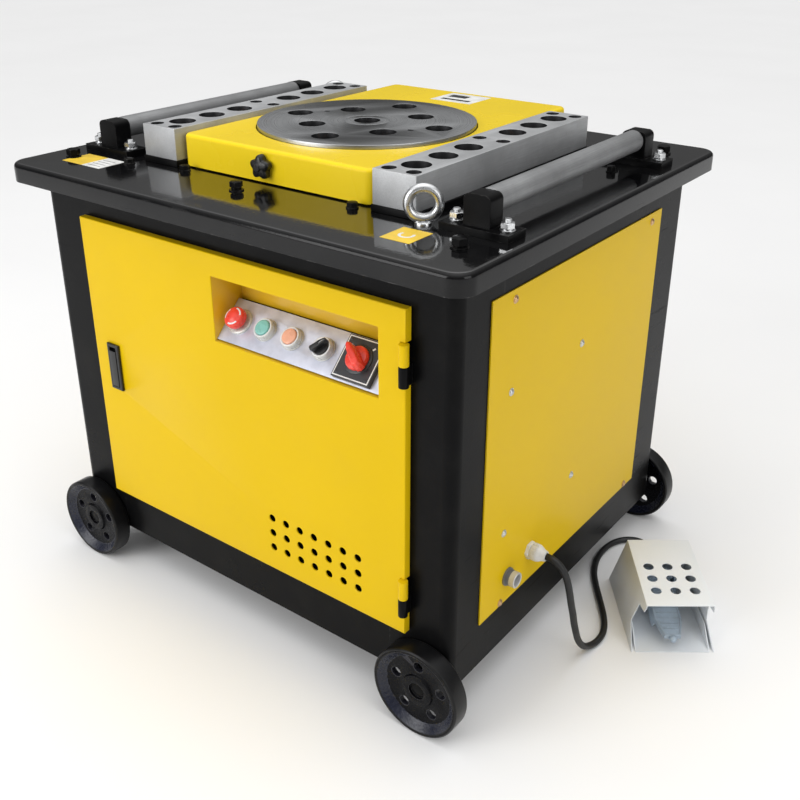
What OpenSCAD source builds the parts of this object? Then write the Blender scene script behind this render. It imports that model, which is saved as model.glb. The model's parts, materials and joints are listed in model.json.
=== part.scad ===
// Rebar bender: a wheeled steel cabinet whose motor turns a drilled bending disc in the table top.
// Origin on the floor under the middle of the whole set, pedal included.
// +X to the right along the door face, +Y to the back, +Z up. Millimetres.

/* [Table] */

// Width of the table top, left to right
table_w = 875; // [860:1:900]
// Depth of the table top, front to back
table_d = 764; // [750:1:790]
// Height of the table's working face
table_h = 727; // [720:1:770]
// Height of the turned-down edge
skirt_h = 30; // [22:1:40]
// Corner radius of the table top, seen from above
table_corner_r = 30; // [20:1:40]

/* [Cabinet] */

// Width of the welded frame
body_w = 807; // [800:1:815]
// Depth of the welded frame
body_d = 679; // [670:1:690]
// Height of the frame's lower edge
frame_bottom = 69; // [66:1:80]
// Height of the bottom rails
rail_h = 80; // [60:1:82]
// Leg of each corner post
post_leg = 105; // [95:1:110]
// Thickness of the posts
post_t = 5; // [4:0.5:6]

/* [Door] */

// Width of the door
door_w = 639; // [635:1:641]
// Height of the door
door_h = 501; // [496:1:504]
// Door's swing in the preview
door_angle = 0; // [0:1:110]

/* [Turntable] */

// Diameter of the bending disc
disc_d = 350; // [330:1:352]
// Thickness of the bending disc
disc_t = 24; // [20:1:26]
// Radius of the holes for bending pins
pin_hole_r = 21; // [15:0.5:22]
// Distance between neighbouring pin holes
pin_pitch = 90; // [84:1:92]
// Turn of the hole grid
grid_turn = -36; // [-60:1:60]
// Radius of the bore for the centre mandrel
mandrel_r = 21; // [15:0.5:22]

/* [Pin bars and rollers] */

// Width of each pin bar
bar_w = 72; // [70:1:74]
// Length of each pin bar
bar_l = 472; // [460:1:480]
// Thickness of each pin bar
bar_t = 49; // [40:1:50]
// Radius of the rollers
roller_r = 17; // [14:1:18]

/* [Wheels] */

// Radius of the wheels
wheel_r = 73; // [66:1:76]
// Width of the wheels
wheel_w = 31; // [28:1:34]

/* [Drive] */

// Teeth of the worm wheel
wheel_teeth = 60; // [60:1:60]
// Pitch radius of the driven pulley
driven_r = 96; // [90:1:98]
// Pitch radius of the motor pulley
motor_pulley_r = 40; // [38:1:44]

/* [Pedal] */

// Width of the pedal's tray
tray_w = 134; // [124:1:140]
// Length of the pedal's tray
tray_l = 192; // [188:1:196]
// Height of the guard's rear edge
hood_h = 110; // [100:1:115]
// Diameter of the pedal's cord
cord_d = 11; // [8:1:12]

/* [Part to build] */

// One node's name, or all

/* [Hidden] */

$fn = 64;
eps = 0.01;
run_fit = 0.05; // radial clearance of a shaft that turns in a bore
sheet = 2;

// Machine: its own zero is the disc's axis on the floor
body_y = 7; // the cabinet's middle lies this far behind the disc's axis
front_y = body_y - body_d / 2;
rear_y = body_y + body_d / 2;
side_x = body_w / 2;
table_t = 8;
under_table = table_h - table_t;
table_wall = 6;
table_edge_r = 8;
post_r = 18;

// Pedal's place beside the machine
pedal_x = 541.5;
pedal_y = 102.5;
pedal_turn = 36.87;
pedal_right = pedal_x + tray_w / 2 * cos(pedal_turn) + tray_l / 2 * sin(pedal_turn);

// The set's middle moves to the origin
shift_x = -(pedal_right - table_w / 2) / 2;
shift_y = -body_y;

// Door
door_x = 15.5;
door_bottom = 153;
door_depth = 12;
door_gap = 1.5;
door_back = front_y - door_gap;
door_front = door_back - door_depth;
door_left = door_x - door_w / 2;
door_right = door_x + door_w / 2;
hinge_x = door_right - 1;
hinge_y = door_front - 2;
hinge_r = 7;
hinge_pin_r = 4;
hinge_heights = [187, 548];
hinge_half = 30;
hinge_notch = hinge_x - hinge_r - 0.5; // the door's edge is cut back to here at each hinge
vent_columns = 7;
vent_rows = 3;
vent_step_x = 28;
vent_step_z = 26.5;
vent_r = 6.5;
vent_x = 83;
vent_z = 194.5;

// Control recess in the door
recess_x = [-13, 291];
recess_z = [518, 619];
recess_depth = 60;
panel_tilt = 45;
plate_t = 1.5;
plate_l = 69;
plate_y = door_front + 4.2;
plate_z = recess_z[0] + 3;
device_y = plate_l / 2;
estop_x = 14;
green_x = 65;
orange_x = 117;
selector_x = 175;
switch_x = 241;
stem_r = 8;
stem_bore_r = 8.3;
barrel_r = 11;
bezel_r = 17;
bezel_h = 10.5;

// Lock
lock_x = -256.5;
lock_z = 407;
lock_w = 27;
lock_h = 82;
lock_proud = 5;
lock_body_w = 22;
lock_body_h = 76;
lock_body_d = 16;
lever_w = 15;
lever_h = 68;
lever_pivot_z = lock_z + 26;
lever_pivot_y = door_front - 1;

// Panels
panel_d = 509;
panel_bottom = 145;
panel_h = 508;
panel_y = body_y - 10;
gland_y = -121;
gland_z = 201;
gland_hole_r = 11;
inlet_y = -184;
inlet_z = 189;
inlet_r = 12.5;
inlet_bore_r = 9.5;
inlet_l = 18;

// Turntable
disc_top = table_h + 58;
disc_bottom = disc_top - disc_t;
cover_top = table_h + 52;
cover_gap = 2.5;
cover_half_w = 186;
cover_front = -224;
cover_rear = 320;
cover_wall = 4;
cover_edge_r = 6;
cover_corner_r = 13;
knob_x = -12.5;
knob_z = table_h + 27;
bush_r = 36;
lift_hole_r = 5;
lift_hole_at = 100;
shaft_r = 40;
flange_r = 64;
flange_t = 15;
lower_journal_r = 30;
shaft_hole_r = 75;

// Gearbox
box_half_x = 150;
box_y = [-140, 185];
box_z = [529, 719];
box_wall = 20;
box_lid = 25;
worm_y = 137.5;
worm_z = 609;
worm_shaft_r = 18;
worm_pitch_r = 26;
tooth_addendum = 3.5;
tooth_dedendum = 4.3;
tooth_gap = 0.5; // between the wheel's tips and the threads' tips
gear_pitch_r = worm_y - worm_pitch_r - 2 * tooth_addendum - tooth_gap;
tooth_pitch = 2 * PI * gear_pitch_r / wheel_teeth;
tooth_half = tooth_pitch / 4 - 0.25; // half a tooth at the pitch line, with backlash
tooth_slope = tan(20);
gear_w = 50;
worm_threads = 7;
upper_bearing_r = 65;
lower_bearing_r = 50;
worm_bearing_r = 36;
upper_bearing_w = 22;
lower_bearing_w = 20;

// Belt drive
pulley_w = 44;
pulley_x = -320;
groove_w = 12.4;
groove_depth = 11;
groove_pitch = 18;
belt_w = 11;
belt_t = 9;
motor_y = 60;
motor_z = 265;
motor_r = 95;
motor_x = [-230, 130];
motor_shaft_r = 14;

// Rollers and bars
bar_plate_t = 10;
bar_bottom = table_h + bar_plate_t;
bar_holes = [60, 123, 186];
bar_x = [-226, 233.5];
small_hole_r = 10.5;
small_hole_x = 20.5;
small_hole_y = 220;
roller_x = [-350, 364];
roller_z = table_h + 37;
ear_y = [208, 238];
ear_w = 40;
ear_h = 52;
ear_corner = 9;
bracket_w = 104;
bracket_y = [204, 246];
bracket_bolt_x = 38;
journal_r = 8;
journal_l = 20;

// Wheels
wheel_x = 366;
wheel_gap = 2;
wheel_bore_r = 10;
hub_r = 25;
hub_inset = 7; // the hub's faces lie this deep inside the rim
hub_cup_r = 13.5;
hub_cup_d = 5;
rim_t = 6;
rim_slope = 11; // the rim's inner face closes in by this much down to the web
web_t = 9;
web_hole_r = 8;
web_hole_at = 41;

// Pedal, in its own frame: -Y is its open front
hood_lean = 38; // the rear wall leans forward by this much
hood_narrow = 15; // each side leans in by this much
hood_front = -104;
hood_front_z = 100;
hood_hole_r = 8.5;
hood_hole_step = [31, 29];
hood_hole_y = -40;
pivot_y = 48;
pivot_z = 46;
pivot_r = 4;
pedal_slope = 10; // front end down
cord_entry_x = 24;
cord_entry_z = 12;
relief_from = 89;
relief_to = 119;

// Route of the pedal's cord, in the machine's own zero: out of the gland, down, then along the floor
CORD_ROUTE = [
    [436, -121, 201], [448, -121.1, 200.1], [459.4, -119.8, 192.7], [468, -118.1, 179.7],
    [472.8, -115.7, 163.1], [475.6, -112.5, 143.7], [477.4, -108.4, 123.4], [479.3, -103.2, 102.1],
    [480, -97.9, 81.8], [481.7, -92.6, 62.4], [482.4, -85.1, 43.9], [483.9, -75.5, 27.3],
    [486.3, -62.6, 14.3], [489.5, -47.3, 7.8], [492.5, -29.7, 6], [491.5, -10, 6],
    [484.6, 10.7, 6], [473.8, 30.5, 6], [461, 49.2, 6], [447.2, 67.9, 6],
    [433.4, 86.7, 6], [419.6, 106.4, 6], [406.7, 127.1, 6], [396.9, 148.8, 6],
    [390, 171.4, 6], [387, 195.1, 6], [388, 218.8, 6], [393.9, 240.5, 6],
    [405.8, 258.2, 6], [423.5, 268.1, 6], [443.2, 266.1, 6], [458, 255.2, 6],
    [470.7, 235.1, 8.3], [480.4, 224, 10.5], [489.1, 212.4, 12]
];
CORD_SIDES = 10;

module at_machine() {
    translate([shift_x, shift_y, 0])
        children();
}

module at_pedal() {
    at_machine()
        translate([pedal_x, pedal_y, 0])
            rotate([0, 0, pedal_turn])
                children();
}

// Everything that swings with the door, opened by door_angle
module at_door() {
    at_machine()
        translate([hinge_x, hinge_y, 0])
            rotate([0, 0, door_angle])
                translate([-hinge_x, -hinge_y, 0])
                    children();
}

// A control on the sloping plate: its own Z is the plate's normal
module at_control(x) {
    at_door()
        translate([x, plate_y, plate_z])
            rotate([panel_tilt, 0, 0])
                translate([0, device_y, 0])
                    children();
}

// A box given by its three spans
module span(x, y, z) {
    translate([x[0], y[0], z[0]])
        cube([x[1] - x[0], y[1] - y[0], z[1] - z[0]]);
}

module rounded_rect(w, d, r) {
    translate([-w / 2 + r, -d / 2])
        square([w - 2 * r, d]);
    translate([-w / 2, -d / 2 + r])
        square([w, d - 2 * r]);
    for (x = [-1, 1], y = [-1, 1])
        translate([x * (w / 2 - r), y * (d / 2 - r)])
            circle(r);
}

// A slab whose upper edge is rounded
module round_top_slab(w, d, h, corner, edge) {
    linear_extrude(h - edge)
        rounded_rect(w, d, corner);
    linear_extrude(h)
        rounded_rect(w - 2 * edge, d - 2 * edge, corner - edge);
    for (x = [-1, 1])
        translate([x * (w / 2 - edge), d / 2 - corner, h - edge])
            rotate([90, 0, 0])
                cylinder(r = edge, h = d - 2 * corner);
    for (y = [-1, 1])
        translate([corner - w / 2, y * (d / 2 - edge), h - edge])
            rotate([0, 90, 0])
                cylinder(r = edge, h = w - 2 * corner);
    for (x = [-1, 1], y = [-1, 1])
        translate([x * (w / 2 - corner), y * (d / 2 - corner), h - edge])
            rotate_extrude()
                translate([corner - edge, 0])
                    circle(edge);
}

module ring(outer, inner, h) {
    difference() {
        cylinder(r = outer, h = h);
        translate([0, 0, -1])
            cylinder(r = inner, h = h + 2);
    }
}

// Hexagon head with a washer under it
module hex_bolt(across, head_h, washer_r, washer_t, shank_r, shank_l) {
    cylinder(r = washer_r, h = washer_t);
    translate([0, 0, washer_t])
        cylinder(r = across / sqrt(3), h = head_h, $fn = 6);
    if (shank_l > 0)
        translate([0, 0, -shank_l])
            cylinder(r = shank_r, h = shank_l + eps);
}

// ---- Welded frame -------------------------------------------------------------------------

module post_section() {
    translate([post_r, 0])
        square([post_leg - post_r, post_t]);
    translate([0, post_r])
        square([post_t, post_leg - post_r]);
    intersection() {
        translate([post_r, post_r])
            difference() {
                circle(post_r);
                circle(post_r - post_t);
            }
        square(post_r);
    }
}

module corner_posts() {
    color("#1b1b1c")
        at_machine()
            for (x = [0, 1], y = [0, 1])
                translate([0, body_y, frame_bottom])
                    mirror([x, 0, 0])
                        mirror([0, y, 0])
                            translate([-side_x, -body_d / 2, 0])
                                linear_extrude(under_table - frame_bottom)
                                    post_section();
}

// Four rails between the posts, their outer faces flush with the frame's
module rail_ring(bottom, h, t) {
    reach_x = side_x - post_leg;
    reach_y = body_d / 2 - post_leg;
    for (y = [front_y, rear_y - t])
        span([-reach_x, reach_x], [y, y + t], [bottom, bottom + h]);
    for (x = [-side_x, side_x - t])
        span([x, x + t], [body_y - reach_y, body_y + reach_y], [bottom, bottom + h]);
}

module bottom_rails() {
    color("#1b1b1c")
        at_machine()
            rail_ring(frame_bottom, rail_h, 40);
}

module top_rails() {
    color("#1b1b1c")
        at_machine()
            rail_ring(under_table - 72, 72, 30);
}

module table_top() {
    inner_w = table_w - 2 * table_wall;
    inner_d = table_d - 2 * table_wall;
    color("#141415")
        at_machine()
            translate([0, body_y, table_h - skirt_h])
                difference() {
                    round_top_slab(table_w, table_d, skirt_h, table_corner_r, table_edge_r);
                    translate([0, 0, -1])
                        linear_extrude(skirt_h - table_t + 1)
                            rounded_rect(inner_w, inner_d, table_corner_r - table_wall);
                    translate([0, -body_y, 0])
                        cylinder(r = shaft_hole_r, h = skirt_h + 1);
                }
}

// Inner floor that carries the motor, its corners cut to clear the posts
module floor_plate() {
    half_x = side_x - post_t - 1;
    half_y = body_d / 2 - post_t - 1;
    cut = 16;
    color("#1b1b1c")
        at_machine()
            translate([0, body_y, frame_bottom + rail_h])
                linear_extrude(3)
                    polygon([
                        [cut - half_x, -half_y], [half_x - cut, -half_y], [half_x, cut - half_y],
                        [half_x, half_y - cut], [half_x - cut, half_y], [cut - half_x, half_y],
                        [-half_x, half_y - cut], [-half_x, cut - half_y]
                    ]);
}

module panel_sheet(side) {
    x = side > 0 ? side_x : -side_x - sheet;
    span([x, x + sheet], [panel_y - panel_d / 2, panel_y + panel_d / 2],
        [panel_bottom, panel_bottom + panel_h]);
}

module side_panel_right() {
    color("#e0b81f")
        at_machine()
            difference() {
                panel_sheet(1);
                translate([side_x - 1, gland_y, gland_z])
                    rotate([0, 90, 0])
                        cylinder(r = gland_hole_r, h = sheet + 2);
                translate([side_x - 1, inlet_y, inlet_z])
                    rotate([0, 90, 0])
                        cylinder(r = gland_hole_r, h = sheet + 2);
            }
}

module side_panel_left() {
    color("#e0b81f")
        at_machine()
            panel_sheet(-1);
}

module rear_panel() {
    color("#e0b81f")
        at_machine()
            span([-door_w / 2, door_w / 2], [rear_y, rear_y + sheet],
                [panel_bottom, panel_bottom + panel_h]);
}

// Pan-head screws: four at the corners and four inside them on each side, four on the rear
module panel_screws() {
    head_r = 5;
    head_h = 3;
    corner_y = 209;
    corner_z = [151, 639];
    inner_y = [-208, -6];
    inner_z = [275, 504];
    rear_x = 290;
    color("#b87945")
        at_machine() {
            for (side = [-1, 1], z = corner_z, y = [-corner_y, corner_y])
                translate([side * (side_x + sheet), panel_y + y, z])
                    rotate([0, side * 90, 0])
                        cylinder(r = head_r, h = head_h);
            for (side = [-1, 1], z = inner_z, y = inner_y)
                translate([side * (side_x + sheet), panel_y + y, z])
                    rotate([0, side * 90, 0])
                        cylinder(r = head_r, h = head_h);
            for (x = [-rear_x, rear_x], z = corner_z)
                translate([x, rear_y + sheet, z])
                    rotate([-90, 0, 0])
                        cylinder(r = head_r, h = head_h);
        }
}

// ---- Wheels -------------------------------------------------------------------------------

// One corner's wheel place: children point along -Y from the frame's face
module at_wheel(x, y) {
    at_machine()
        translate([x * wheel_x, body_y, wheel_r])
            mirror([0, y > 0 ? 1 : 0, 0])
                translate([0, -body_d / 2, 0])
                    rotate([90, 0, 0])
                        children();
}

// A block under the frame, and the stub axle on its collar, welded to block and post
module wheel_axles() {
    block_w = 44;
    block_d = 50;
    block_low = 28;
    axle_end = wheel_gap + wheel_w - hub_inset - hub_cup_d + 2;
    color("#2a2a2b")
        for (x = [-1, 1], y = [-1, 1])
            at_wheel(x, y) {
                translate([-block_w / 2, -block_low, -block_d])
                    cube([block_w, frame_bottom - wheel_r + block_low, block_d]);
                cylinder(r = wheel_bore_r, h = axle_end);
                cylinder(r = hub_r - 4, h = wheel_gap + hub_inset - 0.5);
            }
}

module wheel() {
    web_from = (wheel_w - web_t) / 2;
    web_to = web_from + web_t;
    slope_r = wheel_r - rim_t - rim_slope;
    hub_to = wheel_w - hub_inset;
    bore = wheel_bore_r + run_fit;
    difference() {
        rotate_extrude($fn = 96)
            polygon([
                [bore, hub_inset], [hub_r, hub_inset], [hub_r + 2, web_from],
                [slope_r, web_from], [wheel_r - rim_t, 0], [wheel_r - 2, 0],
                [wheel_r, 2], [wheel_r, wheel_w - 2], [wheel_r - 2, wheel_w],
                [wheel_r - rim_t, wheel_w], [slope_r, web_to],
                [hub_r + 2, web_to], [hub_r, hub_to], [hub_cup_r, hub_to],
                [hub_cup_r, hub_to - hub_cup_d], [bore, hub_to - hub_cup_d]
            ]);
        for (i = [0 : 4])
            rotate([0, 0, 72 * i + 18])
                translate([web_hole_at, 0, 0])
                    cylinder(r = web_hole_r, h = wheel_w);
    }
}

module placed_wheel(x, y) {
    color("#2c2e33")
        at_wheel(x, y)
            translate([0, 0, wheel_gap])
                wheel();
}

module wheel_front_left() {
    placed_wheel(-1, -1);
}

module wheel_front_right() {
    placed_wheel(1, -1);
}

module wheel_rear_left() {
    placed_wheel(-1, 1);
}

module wheel_rear_right() {
    placed_wheel(1, 1);
}

// ---- Turntable ----------------------------------------------------------------------------

module turntable_cover() {
    w = 2 * cover_half_w;
    d = cover_rear - cover_front;
    mid = (cover_rear + cover_front) / 2;
    low = table_h + cover_gap;
    h = cover_top - low;
    foot = 24;
    color("#ecc51f")
        at_machine()
            difference() {
                union() {
                    difference() {
                        translate([0, mid, low])
                            round_top_slab(w, d, h, cover_corner_r, cover_edge_r);
                        span([cover_wall - w / 2, w / 2 - cover_wall],
                            [cover_front + cover_wall, cover_rear - cover_wall],
                            [low - 1, cover_top - cover_wall]);
                    }
                    for (x = [-1, 1], y = [cover_front + foot, cover_rear - foot])
                        translate([x * (cover_half_w - foot) - foot / 2, y - foot / 2, table_h])
                            cube([foot, foot, cover_top - table_h - 1]);
                }
                translate([0, 0, low])
                    cylinder(r = disc_d / 2 + 2, h = h + 10, $fn = 128);
                translate([knob_x, cover_front - 1, knob_z])
                    rotate([-90, 0, 0])
                        cylinder(r = 4 + run_fit, h = cover_wall + 2);
            }
}

module grid_holes(r, h) {
    rotate([0, 0, grid_turn])
        for (i = [-1 : 1], j = [-1 : 1])
            if (i != 0 || j != 0)
                translate([i * pin_pitch, j * pin_pitch, 0])
                    cylinder(r = r, h = h);
}

module turntable_disc() {
    color("#b9bcc0")
        at_machine()
            translate([0, 0, disc_bottom])
                difference() {
                    cylinder(r = disc_d / 2, h = disc_t, $fn = 128);
                    translate([0, 0, -1]) {
                        cylinder(r = bush_r, h = disc_t + 2);
                        grid_holes(pin_hole_r, disc_t + 2);
                        for (turn = [0, 180])
                            rotate([0, 0, turn - 9.5])
                                translate([lift_hole_at, 0, 0])
                                    cylinder(r = lift_hole_r, h = disc_t + 2);
                    }
                }
}

module mandrel_bush() {
    color("#8f9296")
        at_machine()
            translate([0, 0, disc_bottom])
                ring(bush_r, mandrel_r, disc_t);
}

module main_shaft() {
    low = box_z[0] + 7;
    step_z = low + lower_bearing_w + 3;
    socket = 40;
    color("#9a9da1")
        at_machine()
            difference() {
                union() {
                    translate([0, 0, low])
                        cylinder(r = lower_journal_r, h = step_z - low + eps);
                    translate([0, 0, step_z])
                        cylinder(r = shaft_r, h = disc_bottom - step_z);
                    translate([0, 0, disc_bottom - flange_t])
                        cylinder(r = flange_r, h = flange_t);
                }
                translate([0, 0, disc_bottom - socket])
                    cylinder(r = mandrel_r, h = socket + 1);
            }
}

// Corner points of a trapezoid tooth on a circle; a positive height is outward
function tooth_points(r, turn) = [
    for (p = [[-1, -tooth_dedendum], [-1, tooth_addendum], [1, tooth_addendum], [1, -tooth_dedendum]])
        let (half = tooth_half - p[1] * tooth_slope, angle = turn + p[0] * half / (r + p[1]) * 180 / PI)
            [(r + p[1]) * cos(angle), (r + p[1]) * sin(angle)]
];

module worm_wheel() {
    step = 360 / wheel_teeth;
    color("#b08d3c")
        at_machine()
            translate([0, 0, worm_z - gear_w / 2])
                linear_extrude(gear_w)
                    difference() {
                        polygon([
                            for (i = [0 : wheel_teeth - 1])
                                each tooth_points(gear_pitch_r, (i + 0.5) * step)
                        ]);
                        circle(shaft_r);
                    }
}

// Threads run just clear of the wheel's teeth; the belt pulley is keyed on the left end
module worm_shaft() {
    root = worm_pitch_r - tooth_dedendum;
    tip = worm_pitch_r + tooth_addendum;
    half_root = tooth_half + tooth_dedendum * tooth_slope;
    half_tip = tooth_half - tooth_addendum * tooth_slope;
    worm_half = worm_threads * tooth_pitch / 2;
    left = pulley_x - pulley_w / 2 - 6;
    right = box_half_x - 4;
    color("#8f9296")
        at_machine()
            translate([0, worm_y, worm_z])
                rotate([0, 90, 0])
                    rotate_extrude()
                        polygon(concat(
                            [[0, left], [worm_shaft_r, left], [worm_shaft_r, -worm_half], [root, -worm_half]],
                            [
                                for (i = [0 : worm_threads - 1])
                                    let (at = (i - (worm_threads - 1) / 2) * tooth_pitch)
                                        each [
                                            [root, at - half_root], [tip, at - half_tip],
                                            [tip, at + half_tip], [root, at + half_root]
                                        ]
                            ],
                            [[root, worm_half], [worm_shaft_r, worm_half], [worm_shaft_r, right], [0, right]]
                        ));
}

module shaft_bearings() {
    color("#a8abb0")
        at_machine() {
            translate([0, 0, box_z[1] - box_lid])
                ring(upper_bearing_r, shaft_r + run_fit, upper_bearing_w);
            translate([0, 0, box_z[0] + 5])
                ring(lower_bearing_r, lower_journal_r + run_fit, lower_bearing_w);
            for (x = [-box_half_x, box_half_x - box_wall])
                translate([x, worm_y, worm_z])
                    rotate([0, 90, 0])
                        ring(worm_bearing_r, worm_shaft_r + run_fit, box_wall);
        }
}

module gearbox_housing() {
    inner_x = box_half_x - box_wall;
    color("#4a5560")
        at_machine()
            difference() {
                span([-box_half_x, box_half_x], box_y, box_z);
                span([-inner_x, inner_x], [box_y[0] + 12, box_y[1] - 12],
                    [box_z[0] + box_lid, box_z[1] - box_lid]);
                translate([0, 0, box_z[1] - box_lid - 1])
                    cylinder(r = upper_bearing_r, h = box_lid + 2);
                translate([0, 0, box_z[0] + 5])
                    cylinder(r = lower_bearing_r, h = box_lid);
                translate([-box_half_x - 1, worm_y, worm_z])
                    rotate([0, 90, 0])
                        cylinder(r = worm_bearing_r, h = 2 * box_half_x + 2);
            }
}

// ---- Belt drive ---------------------------------------------------------------------------

module pulley_section(r, bore) {
    half = pulley_w / 2;
    polygon(concat(
        [[bore, -half], [r, -half]],
        [
            for (at = [-groove_pitch / 2, groove_pitch / 2])
                each [
                    [r, at - groove_w / 2], [r - groove_depth, at - groove_w / 2],
                    [r - groove_depth, at + groove_w / 2], [r, at + groove_w / 2]
                ]
        ],
        [[r, half], [bore, half]]
    ));
}

module driven_pulley() {
    color("#35383c")
        at_machine()
            translate([pulley_x, worm_y, worm_z])
                rotate([0, 90, 0])
                    difference() {
                        rotate_extrude($fn = 96)
                            pulley_section(driven_r, worm_shaft_r);
                        for (i = [0 : 3])
                            rotate([0, 0, 90 * i + 45])
                                translate([50, 0, -pulley_w])
                                    cylinder(r = 18, h = 2 * pulley_w);
                    }
}

module motor_pulley() {
    shaft_from = pulley_x - pulley_w / 2 - 3;
    shaft_to = motor_x[0] + 60;
    color("#8f9296")
        at_machine()
            translate([0, motor_y, motor_z])
                rotate([0, 90, 0]) {
                    translate([0, 0, pulley_x])
                        rotate_extrude($fn = 96)
                            pulley_section(motor_pulley_r, 0);
                    translate([0, 0, shaft_from])
                        cylinder(r = motor_shaft_r, h = shaft_to - shaft_from);
                }
}

// The band between two unequal pulleys, in the plane of their centres
module belt_band(big, small, reach) {
    lean = asin((big - small) / reach);
    inset = 0.1; // keeps the straight runs' ends inside the circles
    top = big - inset;
    end = small - inset;
    circle(big);
    translate([0, -reach])
        circle(small);
    polygon([
        [top * cos(lean), -top * sin(lean)], [end * cos(lean), -reach - end * sin(lean)],
        [-end * cos(lean), -reach - end * sin(lean)], [-top * cos(lean), -top * sin(lean)]
    ]);
}

module drive_belts() {
    dy = motor_y - worm_y;
    dz = motor_z - worm_z;
    reach = sqrt(dy * dy + dz * dz);
    outer = 0.5;
    inner = outer + belt_t;
    color("#161616")
        at_machine()
            for (at = [-groove_pitch / 2, groove_pitch / 2])
                translate([pulley_x + at - belt_w / 2, worm_y, worm_z])
                    rotate([atan2(dy, -dz), 0, 0])
                        rotate([90, 0, 90])
                            linear_extrude(belt_w)
                                difference() {
                                    belt_band(driven_r - outer, motor_pulley_r - outer, reach);
                                    belt_band(driven_r - inner, motor_pulley_r - inner, reach);
                                }
}

// Body, end shields, fan cover, terminal box and feet of the three-phase motor
module motor_housing() {
    floor_z = frame_bottom + rail_h + 3;
    foot_w = 220;
    foot_l = 180;
    fan_l = 60;
    color("#3f5468")
        at_machine()
            difference() {
                union() {
                    translate([motor_x[0], motor_y, motor_z])
                        rotate([0, 90, 0])
                            cylinder(r = motor_r, h = motor_x[1] - motor_x[0] - fan_l);
                    translate([motor_x[1] - fan_l - 1, motor_y, motor_z])
                        rotate([0, 90, 0])
                            cylinder(r = motor_r - 4, h = fan_l + 1);
                    span([-160, -160 + foot_l], [motor_y - foot_w / 2, motor_y + foot_w / 2],
                        [floor_z, floor_z + 12]);
                    span([-150, 10], [motor_y - 50, motor_y + 50], [floor_z + 11, motor_z - 70]);
                    span([-125, -15], [motor_y - 48, motor_y + 48],
                        [motor_z + motor_r - 15, motor_z + motor_r + 45]);
                }
                translate([motor_x[0] - 1, motor_y, motor_z])
                    rotate([0, 90, 0])
                        cylinder(r = motor_shaft_r + run_fit, h = 70);
            }
}

module electric_box() {
    x = [112, 290];
    y = [rear_y - 100, rear_y];
    z = [284, 544];
    wall = 2;
    color("#b9b9b4")
        at_machine()
            difference() {
                span(x, y, z);
                span([x[0] + wall, x[1] - wall], [y[0] + wall, y[1] - wall],
                    [z[0] + wall, z[1] - wall]);
                translate([(x[0] + x[1]) / 2, y[0] + 50, z[0] - 1])
                    cylinder(r = 14, h = wall + 2);
            }
}

// ---- Bars, rollers and fittings on the table ------------------------------------------------

module pin_bar() {
    difference() {
        translate([-bar_w / 2, -bar_l / 2, bar_bottom])
            cube([bar_w, bar_l, bar_t]);
        translate([0, 0, bar_bottom - 1]) {
            for (y = bar_holes, s = [-1, 1])
                translate([0, s * y, 0])
                    cylinder(r = pin_hole_r, h = bar_t + 2);
            for (x = [-small_hole_x, small_hole_x], y = [-small_hole_y, 0, small_hole_y])
                translate([x, y, 0])
                    cylinder(r = small_hole_r, h = bar_t + 2);
        }
    }
}

module pin_bar_left() {
    color("#a4a7ab")
        at_machine()
            translate([bar_x[0], 0, 0])
                pin_bar();
}

module pin_bar_right() {
    color("#a4a7ab")
        at_machine()
            translate([bar_x[1], 0, 0])
                pin_bar();
}

module bar_base_plates() {
    margin = 2;
    color("#1b1b1c")
        at_machine()
            for (x = bar_x)
                span([x - bar_w / 2 - margin, x + bar_w / 2 + margin],
                    [-bar_l / 2 - margin, bar_l / 2 + margin], [table_h, bar_bottom]);
}

// One bracket: a foot plate and an ear that holds the roller's journal
module roller_bracket() {
    mid_y = (bracket_y[0] + bracket_y[1]) / 2;
    difference() {
        union() {
            span([-bracket_w / 2, bracket_w / 2], bracket_y, [table_h, table_h + bar_plate_t]);
            translate([0, ear_y[1], table_h])
                rotate([90, 0, 0])
                    linear_extrude(ear_y[1] - ear_y[0])
                        union() {
                            translate([-ear_w / 2, 1])
                                square([ear_w, ear_h - ear_corner - 1]);
                            translate([-ear_w / 2 + ear_corner, 1])
                                square([ear_w - 2 * ear_corner, ear_h - 1]);
                            for (s = [-1, 1])
                                translate([s * (ear_w / 2 - ear_corner), ear_h - ear_corner])
                                    circle(ear_corner);
                        }
        }
        translate([0, ear_y[0] - 1, roller_z])
            rotate([-90, 0, 0])
                cylinder(r = journal_r + run_fit, h = journal_l + 2);
        for (s = [-1, 1])
            translate([s * bracket_bolt_x, mid_y, table_h - 1])
                cylinder(r = 5.5, h = bar_plate_t + 2);
    }
}

module roller_brackets() {
    color("#202021")
        at_machine()
            for (x = roller_x, y = [0, 1])
                translate([x, 0, 0])
                    mirror([0, y, 0])
                        roller_bracket();
}

module bracket_bolts() {
    mid_y = (bracket_y[0] + bracket_y[1]) / 2;
    color("#c9cbce")
        at_machine()
            for (x = roller_x, y = [-mid_y, mid_y], s = [-1, 1])
                translate([x + s * bracket_bolt_x, y, table_h + bar_plate_t])
                    hex_bolt(17, 8, 10, 2, 5, bar_plate_t);
}

module roller() {
    half = ear_y[0] - 0.5;
    translate([0, half, roller_z])
        rotate([90, 0, 0])
            cylinder(r = roller_r, h = 2 * half);
    translate([0, ear_y[0] + journal_l, roller_z])
        rotate([90, 0, 0])
            cylinder(r = journal_r, h = 2 * (ear_y[0] + journal_l));
}

module roller_left() {
    color("#8c8f93")
        at_machine()
            translate([roller_x[0], 0, 0])
                roller();
}

module roller_right() {
    color("#8c8f93")
        at_machine()
            translate([roller_x[1], 0, 0])
                roller();
}

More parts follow.
